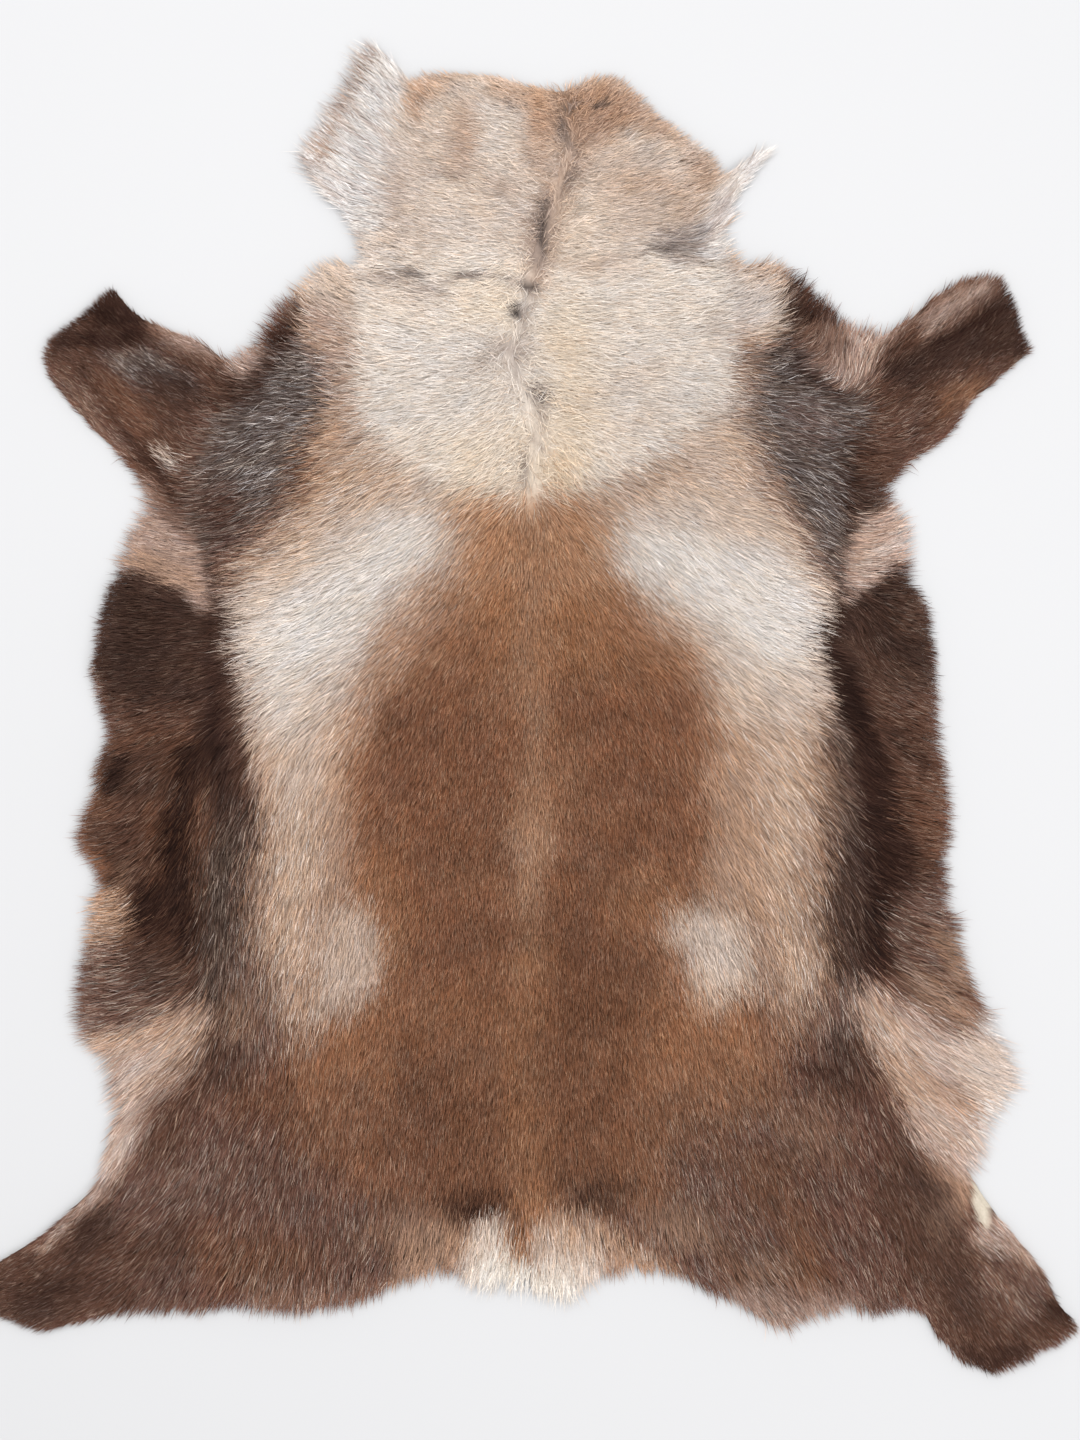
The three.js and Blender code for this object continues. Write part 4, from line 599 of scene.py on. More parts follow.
# where the hide has lost its hair and the leather shows
BARE = [(971, 1166), (980, 1178), (989, 1194), (992, 1206), (985, 1226), (977, 1222), (973, 1194)]

# the two lines where the long pale hair of the flanks combs over the dark sides
FLANKS = [
    [(206, 540), (212, 600), (219, 640), (226, 680), (238, 720), (246, 756)],
    [(846, 540), (834, 600), (832, 650), (838, 700), (848, 744)],
]

# the lock of long hair by the right ear, from its root to its tip
LOCK = [(708, 234), (714, 212), (730, 190), (748, 168)]

# where the hair lies straight and close, in fine long locks: the ear flap, the ear lock, the fringes
COMBED = [
    [(366, 50), (346, 110), (346, 190), (376, 230)],
    [(708, 234), (714, 212), (730, 190), (748, 168)],
    [(200, 1020), (120, 1060), (110, 1150)],
    [(870, 1010), (950, 1060), (950, 1150)],
]


def leather_bare(u, v, grown=0, soft=5):
    """1 where the leather is bare, or within that many mm of it."""
    d = to_line(u, v, BARE + BARE[:1])
    return smooth(0.5 - (np.where(inside(u, v, BARE), -d, d) - grown) / soft)


def lay_of(side, u, v):
    """Heading (as a unit vector), run, at points of the board, from the entries on that side of the parting."""
    total = np.zeros(u.shape + (3,))
    weight = np.full(u.shape, 1e-12)
    for eu, ev, heading, run, reach in LIE:
        if ev < PARTING[-1][1] and side * (eu - parting_at(ev)) < 0:
            continue
        w = np.exp(-((u - eu) ** 2 + (v - ev) ** 2) / (2 * reach * reach)) + 1e-9
        a = math.radians(heading)
        total += w[..., None] * np.array([math.cos(a), math.sin(a), run])
        weight += w
    total /= weight[..., None]
    length = np.maximum(np.hypot(total[..., 0], total[..., 1]), 1e-6)
    total[..., 0] /= length
    total[..., 1] /= length
    return total


def parting_at(v):
    return np.interp(v, [p[1] for p in PARTING], [p[0] for p in PARTING])


# ---------------------------------------------------------------- fields on the board
STEP = 4.0
U0, V0, NU, NV = -60.0, 0.0, 296, 356
GU, GV = np.meshgrid(U0 + STEP * np.arange(NU), V0 + STEP * np.arange(NV))


def at(field, u, v):
    """The field's value between its points."""
    x = np.clip((u - U0) / STEP, 0, NU - 1.001)
    y = np.clip((v - V0) / STEP, 0, NV - 1.001)
    i, j = x.astype(int), y.astype(int)
    a, b = x - i, y - j
    if field.ndim == 3:
        a, b = a[..., None], b[..., None]
    return (field[j, i] * (1 - a) + field[j, i + 1] * a) * (1 - b) + (field[j + 1, i] * (1 - a) + field[j + 1, i + 1] * a) * b


def blur(field, radius, times=2):
    n = max(1, int(round(radius / STEP)))
    for _ in range(times):
        for axis in (0, 1):
            pad = [(0, 0), (0, 0)]
            pad[axis] = (n + 1, n)
            c = np.cumsum(np.pad(field, pad, mode="edge"), axis=axis)
            k = field.shape[axis]
            hi = np.take(c, np.arange(2 * n + 1, 2 * n + 1 + k), axis=axis)
            lo = np.take(c, np.arange(0, k), axis=axis)
            field = (hi - lo) / (2 * n + 1)
    return field


def read_hide():
    """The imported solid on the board, in mm: the height of its top, and how deep inside its outline each point is."""
    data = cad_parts["hide"].data
    co = np.empty(len(data.vertices) * 3, np.float32)
    data.vertices.foreach_get("co", co)
    co = co.reshape(-1, 3).astype(float)
    data.calc_loop_triangles()
    tri = np.empty(len(data.loop_triangles) * 3, np.int32)
    data.loop_triangles.foreach_get("vertices", tri)
    tri = tri.reshape(-1, 3)
    tree = BVHTree.FromPolygons(co.tolist(), tri.tolist())
    _, first, same = np.unique(np.round(co * 1e5).astype(np.int64), axis=0, return_index=True, return_inverse=True)
    merged = same.reshape(-1)[tri]
    low = merged[(co[tri][:, :, 2] < 1e-4).all(1)]
    edges = np.sort(np.concatenate([low[:, [0, 1]], low[:, [1, 2]], low[:, [2, 0]]]), axis=1)
    edges, count = np.unique(edges, axis=0, return_counts=True)
    rim = co[first[edges[count == 1]]][:, :, :2]
    ru, rv = rim[..., 0] * 1000 + MID[0], MID[1] - rim[..., 1] * 1000
    near = np.full(GU.shape, 1e9)
    for (u1, u2), (v1, v2) in zip(ru, rv):
        du, dv = u2 - u1, v2 - v1
        t = np.clip(((GU - u1) * du + (GV - v1) * dv) / max(du * du + dv * dv, 1e-9), 0, 1)
        near = np.minimum(near, np.hypot(GU - u1 - t * du, GV - v1 - t * dv))
    top = np.zeros(GU.shape)
    down = Vector((0, 0, -1))
    for j in range(NV):
        for i in range(NU):
            found = tree.ray_cast(Vector(((GU[j, i] - MID[0]) / 1000, (MID[1] - GV[j, i]) / 1000, 0.2)), down)[0]
            if found is not None:
                top[j, i] = found.z * 1000
    return top, np.where(top > 0, near, -near)


TOP, DEPTH = read_hide()
OUT = np.stack(np.gradient(-blur(DEPTH, 6, 1), STEP), -1)[..., ::-1]
OUT /= np.maximum(np.linalg.norm(OUT, axis=-1, keepdims=True), 1e-6)

# The hair that hangs over the edge of the leather.
LEFT, RIGHT = lay_of(-1, GU, GV), lay_of(1, GU, GV)
ON_RIGHT = GU > parting_at(GV)
LAY = np.where(ON_RIGHT[..., None], RIGHT, LEFT)
SHORT = smooth((480 - GV) / 40) * np.maximum(smooth((270 - GU) / 40), smooth((GU - 810) / 40))  # the fore legs
OVER = np.clip((0.82 - 0.10 * SHORT) * LAY[..., 2] * np.maximum(0, (LAY[..., :2] * OUT).sum(-1)), 2.2, 26.0) - 0.8 - 1.0 * SHORT
OVER *= 1 - 0.95 * leather_bare(GU, GV, 10, 14)
LEATHER = DEPTH - blur(OVER, 6, 1)  # above 0 where there is leather

# The leather lies on the floor, and lifts a little where the hide is lumpy.
INSIDE = smooth(DEPTH / 30)
EVEN = blur(TOP * INSIDE, 60) / np.maximum(blur(INSIDE, 60), 1e-3)
LIFT = np.clip(blur((TOP - EVEN) * INSIDE, 8) * 0.7, 0, 6) * smooth(LEATHER / 25) + 0.5 * smooth(LEATHER / 18) * (1 + noise(GU, GV, 38, 31))
# Outside the outline the hair tips sink towards the floor.
REACHED = np.where(DEPTH > 0, TOP, 0)
CROWN = np.maximum(blur(REACHED, 4, 1), 5.5 * np.exp(np.minimum(DEPTH, 0) / 22))
# The coat is thin and flat round the bare leather.
LIFT += 2.5 * leather_bare(GU, GV, 10, 16)
CROWN = np.maximum(CROWN * (1 - 0.55 * leather_bare(GU, GV, 22, 24)), np.minimum(CROWN, 6.0))

PAINT = paint(GU, GV)


def metres(u, v, z):
    return np.stack([(u - MID[0]) / 1000, (MID[1] - v) / 1000, z / 1000], -1)


def linear(c):
    c = np.clip(c, 0, 1)
    return np.where(c <= 0.04045, c / 12.92, ((c + 0.055) / 1.055) ** 2.4)


# ---------------------------------------------------------------- meshes
def make_mesh(name, co, tri, colour=None, uv=None):
    """A mesh object from arrays: corner points, triangles, a colour a point, a map corner a triangle corner."""
    me = bpy.data.meshes.new(name)
    me.vertices.add(len(co))
    me.vertices.foreach_set("co", np.ascontiguousarray(co, np.float32).ravel())
    me.loops.add(3 * len(tri))
    me.loops.foreach_set("vertex_index", np.ascontiguousarray(tri, np.int32).ravel())
    me.polygons.add(len(tri))
    me.polygons.foreach_set("loop_start", np.arange(0, 3 * len(tri), 3, dtype=np.int32))
    me.update(calc_edges=True)
    if colour is not None:
        layer = me.attributes.new("coat", "FLOAT_COLOR", "POINT")
        layer.data.foreach_set("color", np.ascontiguousarray(colour, np.float32).ravel())
    if uv is not None:
        layer = me.uv_layers.new(name="OFBake")
        layer.data.foreach_set("uv", np.ascontiguousarray(uv, np.float32).ravel())
    ob = bpy.data.objects.new(name, me)
    bpy.context.scene.collection.objects.link(ob)
    return ob


def cut_out(size, level):
    """Where the LEATHER field is above the level: points, triangles and rim of the largest joined piece."""
    nu, nv = int(1180 / size), int(1416 / size)
    us, vs = U0 + size * np.arange(nu), V0 + size * np.arange(nv)
    gu, gv = np.meshgrid(us, vs)
    f = at(LEATHER, gu, gv) - level
    f[np.abs(f) < 1e-3] = 1e-3
    points, number, polys = [], {}, []

    def corner(j, i):
        k = (j, i)
        if k not in number:
            number[k] = len(points)
            points.append((gu[j, i], gv[j, i]))
        return number[k]

    def cut(j, i, m, n):
        k = (j, i, m, n) if (j, i) < (m, n) else (m, n, j, i)
        if k not in number:
            number[k] = len(points)
            t = f[j, i] / (f[j, i] - f[m, n])
            t = min(max(t, 0.04), 0.96)
            points.append((gu[j, i] + t * (gu[m, n] - gu[j, i]), gv[j, i] + t * (gv[m, n] - gv[j, i])))
        return number[k]

    for j in range(nv - 1):
        for i in range(nu - 1):
            ring = [(j, i), (j + 1, i), (j + 1, i + 1), (j, i + 1)]  # goes round anticlockwise, seen from above
            signs = [f[c] > 0 for c in ring]
            if not any(signs):
                continue
            poly = []
            for a in range(4):
                c, d = ring[a], ring[(a + 1) % 4]
                if signs[a]:
                    poly.append(corner(*c))
                if signs[a] != signs[(a + 1) % 4]:
                    poly.append(cut(*c, *d))
            if len(poly) >= 3:
                polys.append(poly)
    tri = np.array([(p[0], p[k], p[k + 1]) for p in polys for k in range(1, len(p) - 1)])
    points = np.array(points)
    # only the largest joined piece is kept
    parent = np.arange(len(points))
    for _ in range(400):
        low = parent[tri].min(1)
        new = parent.copy()
        np.minimum.at(new, tri.ravel(), np.repeat(low, 3))
        new = new[new]
        if (new == parent).all():
            break
        parent = new
    best = np.bincount(parent[tri[:, 0]]).argmax()
    tri = tri[parent[tri[:, 0]] == best]
    used, back = np.unique(tri, return_inverse=True)
    points, tri = points[used], back.reshape(-1, 3)
    directed = {(a, b) for t in tri for a, b in ((t[0], t[1]), (t[1], t[2]), (t[2], t[0]))}
    rim = np.array([(a, b) for a, b in directed if (b, a) not in directed])
    return points[:, 0], points[:, 1], tri, rim


def slab(name, u, v, tri, rim, top, low, up, down):
    """A closed sheet on the board between those two heights, with those colours above and below."""
    n = len(u)
    co = np.concatenate([metres(u, v, top), metres(u, v, low)])
    under = tri[:, ::-1] + n
    side = np.concatenate([np.stack([rim[:, 1], rim[:, 0], rim[:, 0] + n], -1), np.stack([rim[:, 1], rim[:, 0] + n, rim[:, 1] + n], -1)])
    faces = np.concatenate([tri, under, side])
    colour = np.ones((2 * n, 4))
    colour[:n, :3], colour[n:, :3] = up, down
    # the map: above on the left half, below on the right half
    place = np.stack([(u - U0) / 1180, (v - V0) / 1416], -1)
    place = np.concatenate([place * [0.48, 0.96] + [0.01, 0.02], place * [0.48, 0.96] + [0.51, 0.02]])
    uv = place[faces]
    out = at(OUT, u, v) * [0.004 * 0.48, 0.004 * 0.96]
    k = len(tri) + len(under)
    for row, (a, b) in ((uv[k : k + len(rim)], (rim[:, 1], rim[:, 0])),):
        row[:, 2] = place[rim[:, 0]] + out[rim[:, 0]]
    row = uv[k + len(rim) :]
    row[:, 1] = place[rim[:, 0]] + out[rim[:, 0]]
    row[:, 2] = place[rim[:, 1]] + out[rim[:, 1]]
    return make_mesh(name, co, faces, colour, uv)


def leather_mesh():
    """The tanned skin, 2 mm thick, and its area."""
    u, v, tri, rim = cut_out(9.0, 0.0)
    edge, lift = at(LEATHER, u, v), at(LIFT, u, v)
    thick = 1.9 - 0.6 * (1 - smooth(edge / 10))
    area = 0.5 * np.abs((u[tri[:, 1]] - u[tri[:, 0]]) * (v[tri[:, 2]] - v[tri[:, 0]]) - (u[tri[:, 2]] - u[tri[:, 0]]) * (v[tri[:, 1]] - v[tri[:, 0]])).sum() / 1e6
    # colours: above, the underfur's colour painted darker as the shade deep in the coat, not the leather's own pale
    # colour; the tanned flesh side below
    p = at(PAINT, u, v)
    up = linear(p[:, :3]) * (0.36 + 0.44 * smooth((p[:, :3].mean(1) - 0.30) / 0.45))[:, None]
    bare = leather_bare(u, v)[:, None]
    up = up * (1 - bare) + bare * HIDE_WHITE
    worn = (0.5 + 0.5 * noise(u, v, 90, 41)) * 0.5 + (0.5 + 0.5 * noise(u, v, 26, 42)) * 0.3 + (0.5 + 0.5 * noise(u, v, 9, 43)) * 0.2
    pale, deep = np.array([0.74, 0.66, 0.53]), np.array([0.56, 0.45, 0.32])
    down = pale + (deep - pale) * (smooth((worn - 0.35) / 0.4) * 0.7 + 0.3 * (1 - smooth(edge / 30)))[:, None]
    return slab("leather", u, v, tri, rim, lift + thick + 0.1, lift, up, down), area


def underfur_mesh():
    """The wool close to the skin, which the longer hairs stand out of: a soft mass up to FLUFF of the coat's height."""
    u, v, tri, rim = cut_out(9.0, 5.0)
    edge, lift = at(LEATHER, u, v), at(LIFT, u, v)
    groove = 0.5 * np.exp(-(((u - parting_at(v)) / 9) ** 2)) * smooth((520 - v) / 60)
    deep = FLUFF * at(CROWN, u, v) * (1 - groove) * (1 + 0.06 * noise(u, v, 20, 45)) * smooth(edge / 34)
    skin = lift + 2.05
    p = at(PAINT, u, v)
    # the underfur takes the hair's colour painted darker, a painted shade of the deep coat
    up = linear(p[:, :3]) * UNDER_SHADE(p[:, :3].mean(1))[:, None]
    bare = leather_bare(u, v, 7, 8)
    shown = leather_bare(u, v, 1, 6)[:, None]
    up = up * (1 - shown) + shown * HIDE_WHITE
    return slab("underfur", u, v, tri, rim, np.maximum(deep * (1 - bare), skin + 0.35), skin, up, up)


FLUFF = 0.62
HIDE_WHITE = np.array([0.50, 0.44, 0.355])  # tanned leather where no hair grows


def UNDER_SHADE(mean):
    """How bright the underfur is painted against the hair above it, darkened as painted shade deep in the coat: nearly
    as bright under white hair, duller under dark.
    """
    return 0.44 + 0.38 * smooth((mean - 0.20) / 0.45)


def clumps(u, v, size, seed):
    """For each hair, the middle of the lock it belongs to and that lock's number."""
    best = np.full(u.shape, 1e9)
    cu, cv, no = np.zeros(u.shape), np.zeros(u.shape), np.zeros(u.shape)
    bi, bj = np.floor(u / size), np.floor(v / size)
    for dj in (-1, 0, 1):
        for di in (-1, 0, 1):
            i, j = bi + di, bj + dj
            pu = (i + 0.15 + 0.7 * hashed(i, j, seed)) * size
            pv = (j + 0.15 + 0.7 * hashed(i, j, seed + 7)) * size
            d = (pu - u) ** 2 + (pv - v) ** 2
            near = d < best
            best = np.where(near, d, best)
            cu, cv = np.where(near, pu, cu), np.where(near, pv, cv)
            no = np.where(near, hashed(i, j, seed + 13), no)
    return cu, cv, no


def lay_at(u, v):
    right = u > parting_at(v) + 3 * noise(u, v, 11, 21)
    a, b = at(LEFT, u, v), at(RIGHT, u, v)
    return np.where(right[..., None], b, a)


def grow(u, v, rng, kind):
    """Hairs rooted at those points: their bends in mm on the board, widths and colours."""
    n = len(u)
    long = kind == "long"
    lay = lay_at(u, v)
    head = smooth((520 - v) / 60)
    off = u - parting_at(v)
    by_parting = np.exp(-(off / 34) ** 2) * head
    tousled = np.exp(-(off / 11) ** 2) * head
    crisp = np.exp(-(np.minimum(to_line(u, v, FLANKS[0]), to_line(u, v, FLANKS[1])) / 34) ** 2)
    combed = np.exp(-(np.minimum.reduce([to_line(u, v, line) for line in COMBED]) / 34) ** 2)
    wild = (0.4 + 0.5 * head + 1.2 * by_parting) * (1 - 0.4 * crisp) * (1 - 0.75 * combed)
    turn = np.radians(7 * noise(u, v, 46, 22) + 6 * noise(u, v, 17, 23) * wild + 4 * noise(u, v, 8, 24) * wild)
    turn = turn + np.radians(rng.normal(0, 1, n) * (4.5 + 2.5 * wild + 42 * tousled - 2 * combed))
    run = lay[:, 2] * rng.uniform(0.72, 1.18, n) * (1 + 0.10 * noise(u, v, 21, 25)) * (1.15 if long else 1.0)
    run = run * (1 - 0.4 * tousled * rng.random(n))
    cu, cv, no = clumps(u, v, 6.5 if long else 5.0, 51)
    cu2, cv2, no2 = clumps(u, v, 13.0, 151)
    soft = smooth((run - 15) / 14)
    pull = np.clip(0.04 + 0.10 * soft + 0.22 * long - 0.04 * combed, 0, 0.75) * (0.4 + 1.0 * no)
    turn += np.radians((no - 0.5) * 6 * (0.5 + soft) + (no2 - 0.5) * 8 * (0.4 + soft))

    def step(pu, pv, field, amount, extra):
        c, s = np.cos(turn + extra), np.sin(turn + extra)
        return pu + amount * (field[:, 0] * c - field[:, 1] * s), pv + amount * (field[:, 0] * s + field[:, 1] * c)

    parts = [0.24, 0.34, 0.42] if long else [0.52, 0.48]
    curl = np.radians(rng.normal(0, 7, n) * (0.5 + wild))
    us, vs, share = [u], [v], 0.0
    field = lay
    for k, part in enumerate(parts):
        nu, nv = step(us[-1], vs[-1], field, run * part, curl * k)
        us.append(nu)
        vs.append(nv)
        field = lay_at(nu, nv) if k == 0 else field
        field = np.where(((field[:, :2] * lay[:, :2]).sum(1) > 0.2)[:, None], field, lay)
    total = 0.0
    for k, part in enumerate(parts, 1):
        total += part
        us[k] = us[k] - pull * total * (u - cu) - 0.35 * pull * total * (u - cu2)
        vs[k] = vs[k] - pull * total * (v - cv) - 0.35 * pull * total * (v - cv2)
    base = at(LIFT, u, v) + 1.6
    lies = rng.beta(3.2, 1.3, n)
    zs = [base]
    total = 0.0
    for k, part in enumerate(parts, 1):
        total += part
        crown = at(CROWN, us[k], vs[k])
        full = crown * (0.78 + 0.24 * lies) + 0.3 * (no - 0.5) * (0.4 + soft)
        rise = 1 - (1 - total) ** 2.2 if total < 1 else 1.0
        z = base + (full - base) * rise
        zs.append(np.maximum(z, 0.9 + 1.5 * lies))
    # colours, from where the hair is seen; hairs of two neighbouring colours mingle where they meet
    seen = 0.74 + rng.normal(0, 1, n) * (0.12 + 0.12 * smooth(at(DEPTH, u, v) / 90)) * (1 - 0.8 * crisp)
    pu, pv = u + (us[-1] - u) * seen, v + (vs[-1] - v) * seen
    mingle = 1.5 + 5.0 * smooth((v - 300) / 120) * smooth(at(DEPTH, u, v) / 120) + 1.5 * smooth((v - 300) / 120)
    mingle = mingle * (1 - 0.75 * crisp)
    p = paint(pu + rng.normal(0, 1, n) * mingle, pv + rng.normal(0, 1, n) * mingle)
    base, other, share = linear(p[:, :3]), linear(p[:, 3:6]), p[:, 6]
    odd = rng.random(n) < share * (0.75 + 0.5 * noise(pu, pv, 9, 26))
    uneven = p[:, 7]
    shade = 1 + uneven * (0.25 * rng.normal(0, 1, n) + 0.09 * (no - 0.5) + 0.11 * (no2 - 0.5) + 0.05 * noise(pu, pv, 9, 27))
    dark = 1 - smooth((p[:, :3].mean(1) - 0.30) / 0.45)
    mottle = 0.085 * noise(pu, pv * 1.5, 24, 61) + 0.075 * noise(pu, pv * 1.7, 10, 62) + 0.05 * noise(pu, pv * 1.4, 4.5, 65)
    shade = shade * (1 + uneven * (0.35 + 0.75 * dark) * mottle)
    shade = np.clip(shade, 0.4, 1.7)
    warm = uneven * (0.03 * rng.normal(0, 1, n) + 0.04 * noise(pu, pv, 15, 29))
    tint = shade[:, None] * (1 + warm[:, None] * np.array([0.8, 0.0, -1.2]))
    light = smooth((p[:, :3].mean(1) - 0.30) / 0.45)[:, None]  # 1 where the coat is white, 0 where it is dark
    plain = np.maximum(base - 1.2 * share[:, None] * (other - base), 0.6 * base)
    body = np.where(odd[:, None], other, plain) * tint
    tip = body + (other * tint - body) * (rng.uniform(0.0, 2.0, n) * share)[:, None]
    # each hair is coloured darker at the root and brighter at the tip: partly its own darker root, partly painted shade
    # deep in the coat and painted light on the tips that stand clear
    between = 4 * light * (1 - light)
    rows = [body * (0.36 + 0.40 * light), body * (0.80 + 0.15 * light + 0.06 * between), tip * (1.20 - 0.13 * light + 0.06 * between)]
    if long:
        rows.insert(2, body * (0.94 + 0.06 * light))
    width = np.where(odd, 0.85, 1.0) * rng.uniform(0.7, 1.3, n) * WIDTH * (0.78 + 0.22 * soft)
    roll = np.radians(rng.normal(0, 26, n))
    return us, vs, zs, width, roll, rows


WIDTH = 0.76  # of a hair, or of the few fine hairs that lie together, in mm


def hair_object(name, us, vs, zs, width, roll, rows):
    """All those hairs as one mesh: each is a blade, pointed at both ends, widest in its middle."""
    n, joints = len(us[0]), len(us) - 2
    order = np.lexsort((us[0], np.floor(vs[0] / 8)))
    pts = [metres(u, v, z)[order] for u, v, z in zip(us, vs, zs)]
    width, roll = width[order] / 1000, roll[order]
    rows = [r[order] for r in rows]
    corners, shades = [pts[0]], [rows[0]]
    for k in range(1, joints + 1):
        d = pts[k + 1][:, :2] - pts[k - 1][:, :2]
        d /= np.maximum(np.linalg.norm(d, axis=1, keepdims=True), 1e-9)
        side = np.stack([-d[:, 1] * np.cos(roll), d[:, 0] * np.cos(roll), np.sin(roll)], -1)
        w = (width * (0.5 if joints == 1 or k == 1 else 0.42))[:, None]
        corners += [pts[k] - side * w, pts[k] + side * w]
        shades += [rows[k], rows[k]]
    corners.append(pts[-1])
    shades.append(rows[-1])
    each = len(corners)
    co = np.stack(corners, 1)
    shade = np.ones((n, each, 4))
    shade[..., :3] = np.stack(shades, 1)
    if joints == 1:
        pattern = [(0, 1, 2), (1, 3, 2)]
        cell = [(0.14, 0.14), (0.86, 0.14), (0.14, 0.86), (0.86, 0.86)]
    else:
        pattern = [(0, 1, 2), (1, 3, 2), (2, 3, 4), (3, 5, 4)]
        cell = [(0.5, 0.1), (0.12, 0.36), (0.88, 0.36), (0.12, 0.66), (0.88, 0.66), (0.5, 0.9)]
    pattern, cell = np.array(pattern), np.array(cell)
    tri = (np.arange(n)[:, None, None] * each + pattern[None]).reshape(-1, 3)
    m = math.ceil(math.sqrt(n))
    spot = np.stack([np.arange(n) % m, np.arange(n) // m], -1)[:, None] + cell[None]
    uv = (spot / m)[:, pattern].reshape(-1, 3, 2)
    ob = make_mesh(name, co.reshape(-1, 3), tri, shade.reshape(-1, 4), uv)
    return ob


def scatter(spacing, rng):
    """Evenly strewn points over the board."""
    us, vs = np.meshgrid(np.arange(U0, 1120, spacing), np.arange(20, 1410, spacing))
    u = us.ravel() + rng.uniform(0, spacing, us.size)
    v = vs.ravel() + rng.uniform(0, spacing, us.size)
    keep = at(LEATHER, u, v) > 0.8
    return u[keep], v[keep]


# ---------------------------------------------------------------- materials
def new_material(name, roughness, specular, sheen):
    m = bpy.data.materials.new(name)
    m.use_nodes = True
    nodes, links = m.node_tree.nodes, m.node_tree.links
    bsdf = next(x for x in nodes if x.type == "BSDF_PRINCIPLED")
    bsdf.inputs["Roughness"].default_value = roughness
    bsdf.inputs["Specular IOR Level"].default_value = specular
    bsdf.inputs["Sheen Weight"].default_value = sheen
    bsdf.inputs["Sheen Roughness"].default_value = 0.4
    return m, nodes, links, bsdf


def vary(nodes, links, source, where, scale, low, high, detail=3.0):
    """source times a noise between low and high."""
    tex = nodes.new("ShaderNodeTexNoise")
    tex.inputs["Scale"].default_value = scale
    tex.inputs["Detail"].default_value = detail
    links.new(where, tex.inputs["Vector"])
    span = nodes.new("ShaderNodeMapRange")
    span.inputs["From Min"].default_value, span.inputs["From Max"].default_value = 0.3, 0.7
    span.inputs["To Min"].default_value, span.inputs["To Max"].default_value = low, high
    links.new(tex.outputs["Fac"], span.inputs["Value"])
    mix = nodes.new("ShaderNodeMix")
    mix.data_type, mix.blend_type = "RGBA", "MULTIPLY"
    mix.inputs["Factor"].default_value = 1.0
    links.new(source, mix.inputs["A"])
    links.new(span.outputs["Result"], mix.inputs["B"])
    return mix.outputs["Result"]


def fur_material():
    m, nodes, links, bsdf = new_material("coat_hair", 0.6, 0.05, 0.0)
    shade = nodes.new("ShaderNodeAttribute")
    shade.attribute_name = "coat"
    where = nodes.new("ShaderNodeTexCoord")
    colour = vary(nodes, links, shade.outputs["Color"], where.outputs["Object"], 420.0, 0.90, 1.10)
    links.new(colour, bsdf.inputs["Base Color"])
    return m


def leather_material():
    m, nodes, links, bsdf = new_material("tanned_leather", 0.86, 0.2, 0.25)
    shade = nodes.new("ShaderNodeAttribute")
    shade.attribute_name = "coat"
    where = nodes.new("ShaderNodeTexCoord")
    colour = vary(nodes, links, shade.outputs["Color"], where.outputs["Object"], 60.0, 0.86, 1.12, 6.0)
    colour = vary(nodes, links, colour, where.outputs["Object"], 520.0, 0.9, 1.08, 3.0)
    links.new(colour, bsdf.inputs["Base Color"])
    nap = nodes.new("ShaderNodeTexNoise")
    nap.inputs["Scale"].default_value = 700.0
    nap.inputs["Detail"].default_value = 4.0
    links.new(where.outputs["Object"], nap.inputs["Vector"])
    bump = nodes.new("ShaderNodeBump")
    bump.inputs["Strength"].default_value = 0.5
    bump.inputs["Distance"].default_value = 0.0008
    links.new(nap.outputs["Fac"], bump.inputs["Height"])
    links.new(bump.outputs["Normal"], bsdf.inputs["Normal"])
    return m


# ---------------------------------------------------------------- the hide
hair = fur_material()
skin_material = leather_material()

leather, leather_area = leather_mesh()
leather.data.materials.append(skin_material)
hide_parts("hide")
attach(leather, "root")

SHORT = 400000  # hairs of the coat
LONG = 20000  # longer hairs of the fringes, the arm pits, the ear and the tail
rng = np.random.default_rng(1334)
pu, pv = scatter(0.98, rng)
lay = lay_at(pu, pv)
want = 1.0 / (lay[:, 2] * (0.78 + 0.22 * smooth((lay[:, 2] - 15) / 14)))
want *= 1 + 0.5 * smooth((26 - at(LEATHER, pu, pv)) / 26)  # thick at the edges, where the coat thins to nothing
for along in (0.0, 0.45, 0.9):  # none is rooted on the bare leather, and few fall across it
    want *= 1 - (1.0 if along == 0 else 0.9) * leather_bare(pu + along * lay[:, 2] * lay[:, 0], pv + along * lay[:, 2] * lay[:, 1])
chance = want * SHORT / want.sum()
for _ in range(4):
    chance = np.minimum(chance, 1.0)
    chance *= SHORT / chance.sum()
keep = rng.random(len(pu)) < chance
pu, pv = pu[keep], pv[keep]

pieces = [underfur_mesh()]
bands = np.quantile(pv, np.linspace(0, 1, 6))
names = ["coat_head_neck", "coat_shoulders", "coat_back", "coat_loin", "coat_rump"]
for k, name in enumerate(names):
    mine = (pv >= bands[k]) & ((pv < bands[k + 1]) | (k == 4))
    pieces.append(hair_object(name, *grow(pu[mine], pv[mine], rng, "short")))

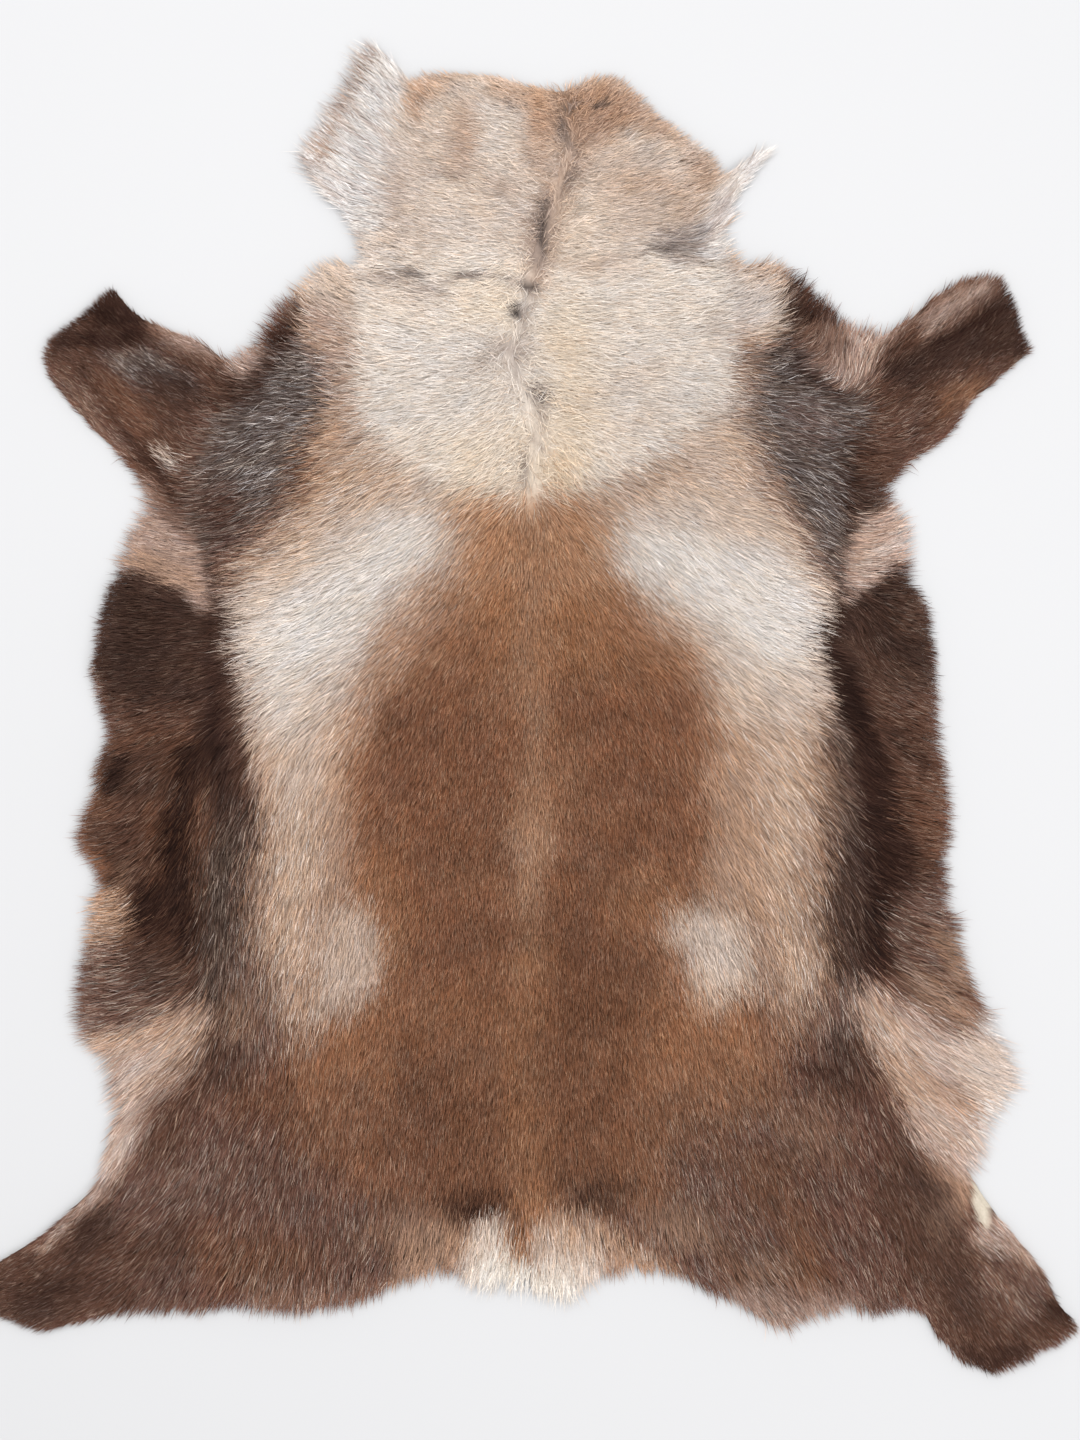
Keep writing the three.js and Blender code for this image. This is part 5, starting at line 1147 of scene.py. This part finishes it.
pu, pv = scatter(2.0, rng)
lay = lay_at(pu, pv)
edge = at(LEATHER, pu, pv)
outward = (lay[:, :2] * at(OUT, pu, pv)).sum(1)
want = smooth((lay[:, 2] - 27) / 9) + 0.55 * smooth((16 - edge) / 12) * (outward > -0.2) * smooth((lay[:, 2] - 12) / 8) + 0.03
want *= 1 - leather_bare(pu, pv, 14, 12)
keep = rng.random(len(pu)) < want * LONG / want.sum()
t = 3 * rng.random(900)
lock = [np.interp(t, range(4), [p[k] for p in LOCK]) + rng.normal(0, 1, 900) * (4.5 - t) for k in (0, 1)]
pu, pv = np.append(pu[keep], lock[0]), np.append(pv[keep], lock[1])
pieces.append(hair_object("coat_guard_hair", *grow(pu, pv, rng, "long")))

for piece in pieces:
    piece.data.materials.append(hair)
    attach(piece, "root")


# ---------------------------------------------------------------- floor, light and camera
def stage_floor():
    me = bpy.data.meshes.new("floor")
    s = 14.0
    me.from_pydata([(-s, -s, -0.0008), (s, -s, -0.0008), (s, s, -0.0008), (-s, s, -0.0008)], [], [(0, 1, 2, 3)])
    ob = bpy.data.objects.new("floor", me)
    bpy.context.scene.collection.objects.link(ob)
    m, nodes, links, bsdf = new_material("floor_paint", 0.9, 0.1, 0.0)
    bsdf.inputs["Base Color"].default_value = (0.522, 0.522, 0.526, 1)
    me.materials.append(m)
    return ob


def area_light(name, place, target, size, power, colour=(1, 1, 1)):
    data = bpy.data.lights.new(name, "AREA")
    data.shape, data.size, data.size_y, data.energy, data.color = "RECTANGLE", size[0], size[1], power, colour
    ob = bpy.data.objects.new(name, data)
    ob.location = place
    ob.rotation_euler = (Vector(target) - Vector(place)).to_track_quat("-Z", "Y").to_euler()
    ob.visible_camera = False
    bpy.context.scene.collection.objects.link(ob)
    return ob


stage_floor()
scene = bpy.context.scene
world = bpy.data.worlds.new("studio")
world.use_nodes = True
back = world.node_tree.nodes["Background"]
back.inputs["Color"].default_value = (0.985, 0.985, 1.0, 1)
back.inputs["Strength"].default_value = 0.9
scene.world = world
area_light("overhead", (-0.45, 1.1, 3.1), (0, 0, 0), (2.6, 2.2), 78)
area_light("fill", (2.2, -1.3, 3.2), (0, 0, 0), (3.0, 3.0), 72)

camera = bpy.data.cameras.new("camera")
camera.lens, camera.sensor_width, camera.sensor_fit = 90, 36, "AUTO"
camera.clip_start, camera.clip_end = 0.05, 60
eye = bpy.data.objects.new("camera", camera)
eye.location = (0.0145, -0.012, 3.6)
eye.rotation_euler = (0, 0, 0)
scene.collection.objects.link(eye)
scene.camera = eye
scene.view_settings.view_transform = "Standard"
scene.view_settings.look = "None"
scene.view_settings.exposure = 0.0
scene.view_settings.gamma = 1.0
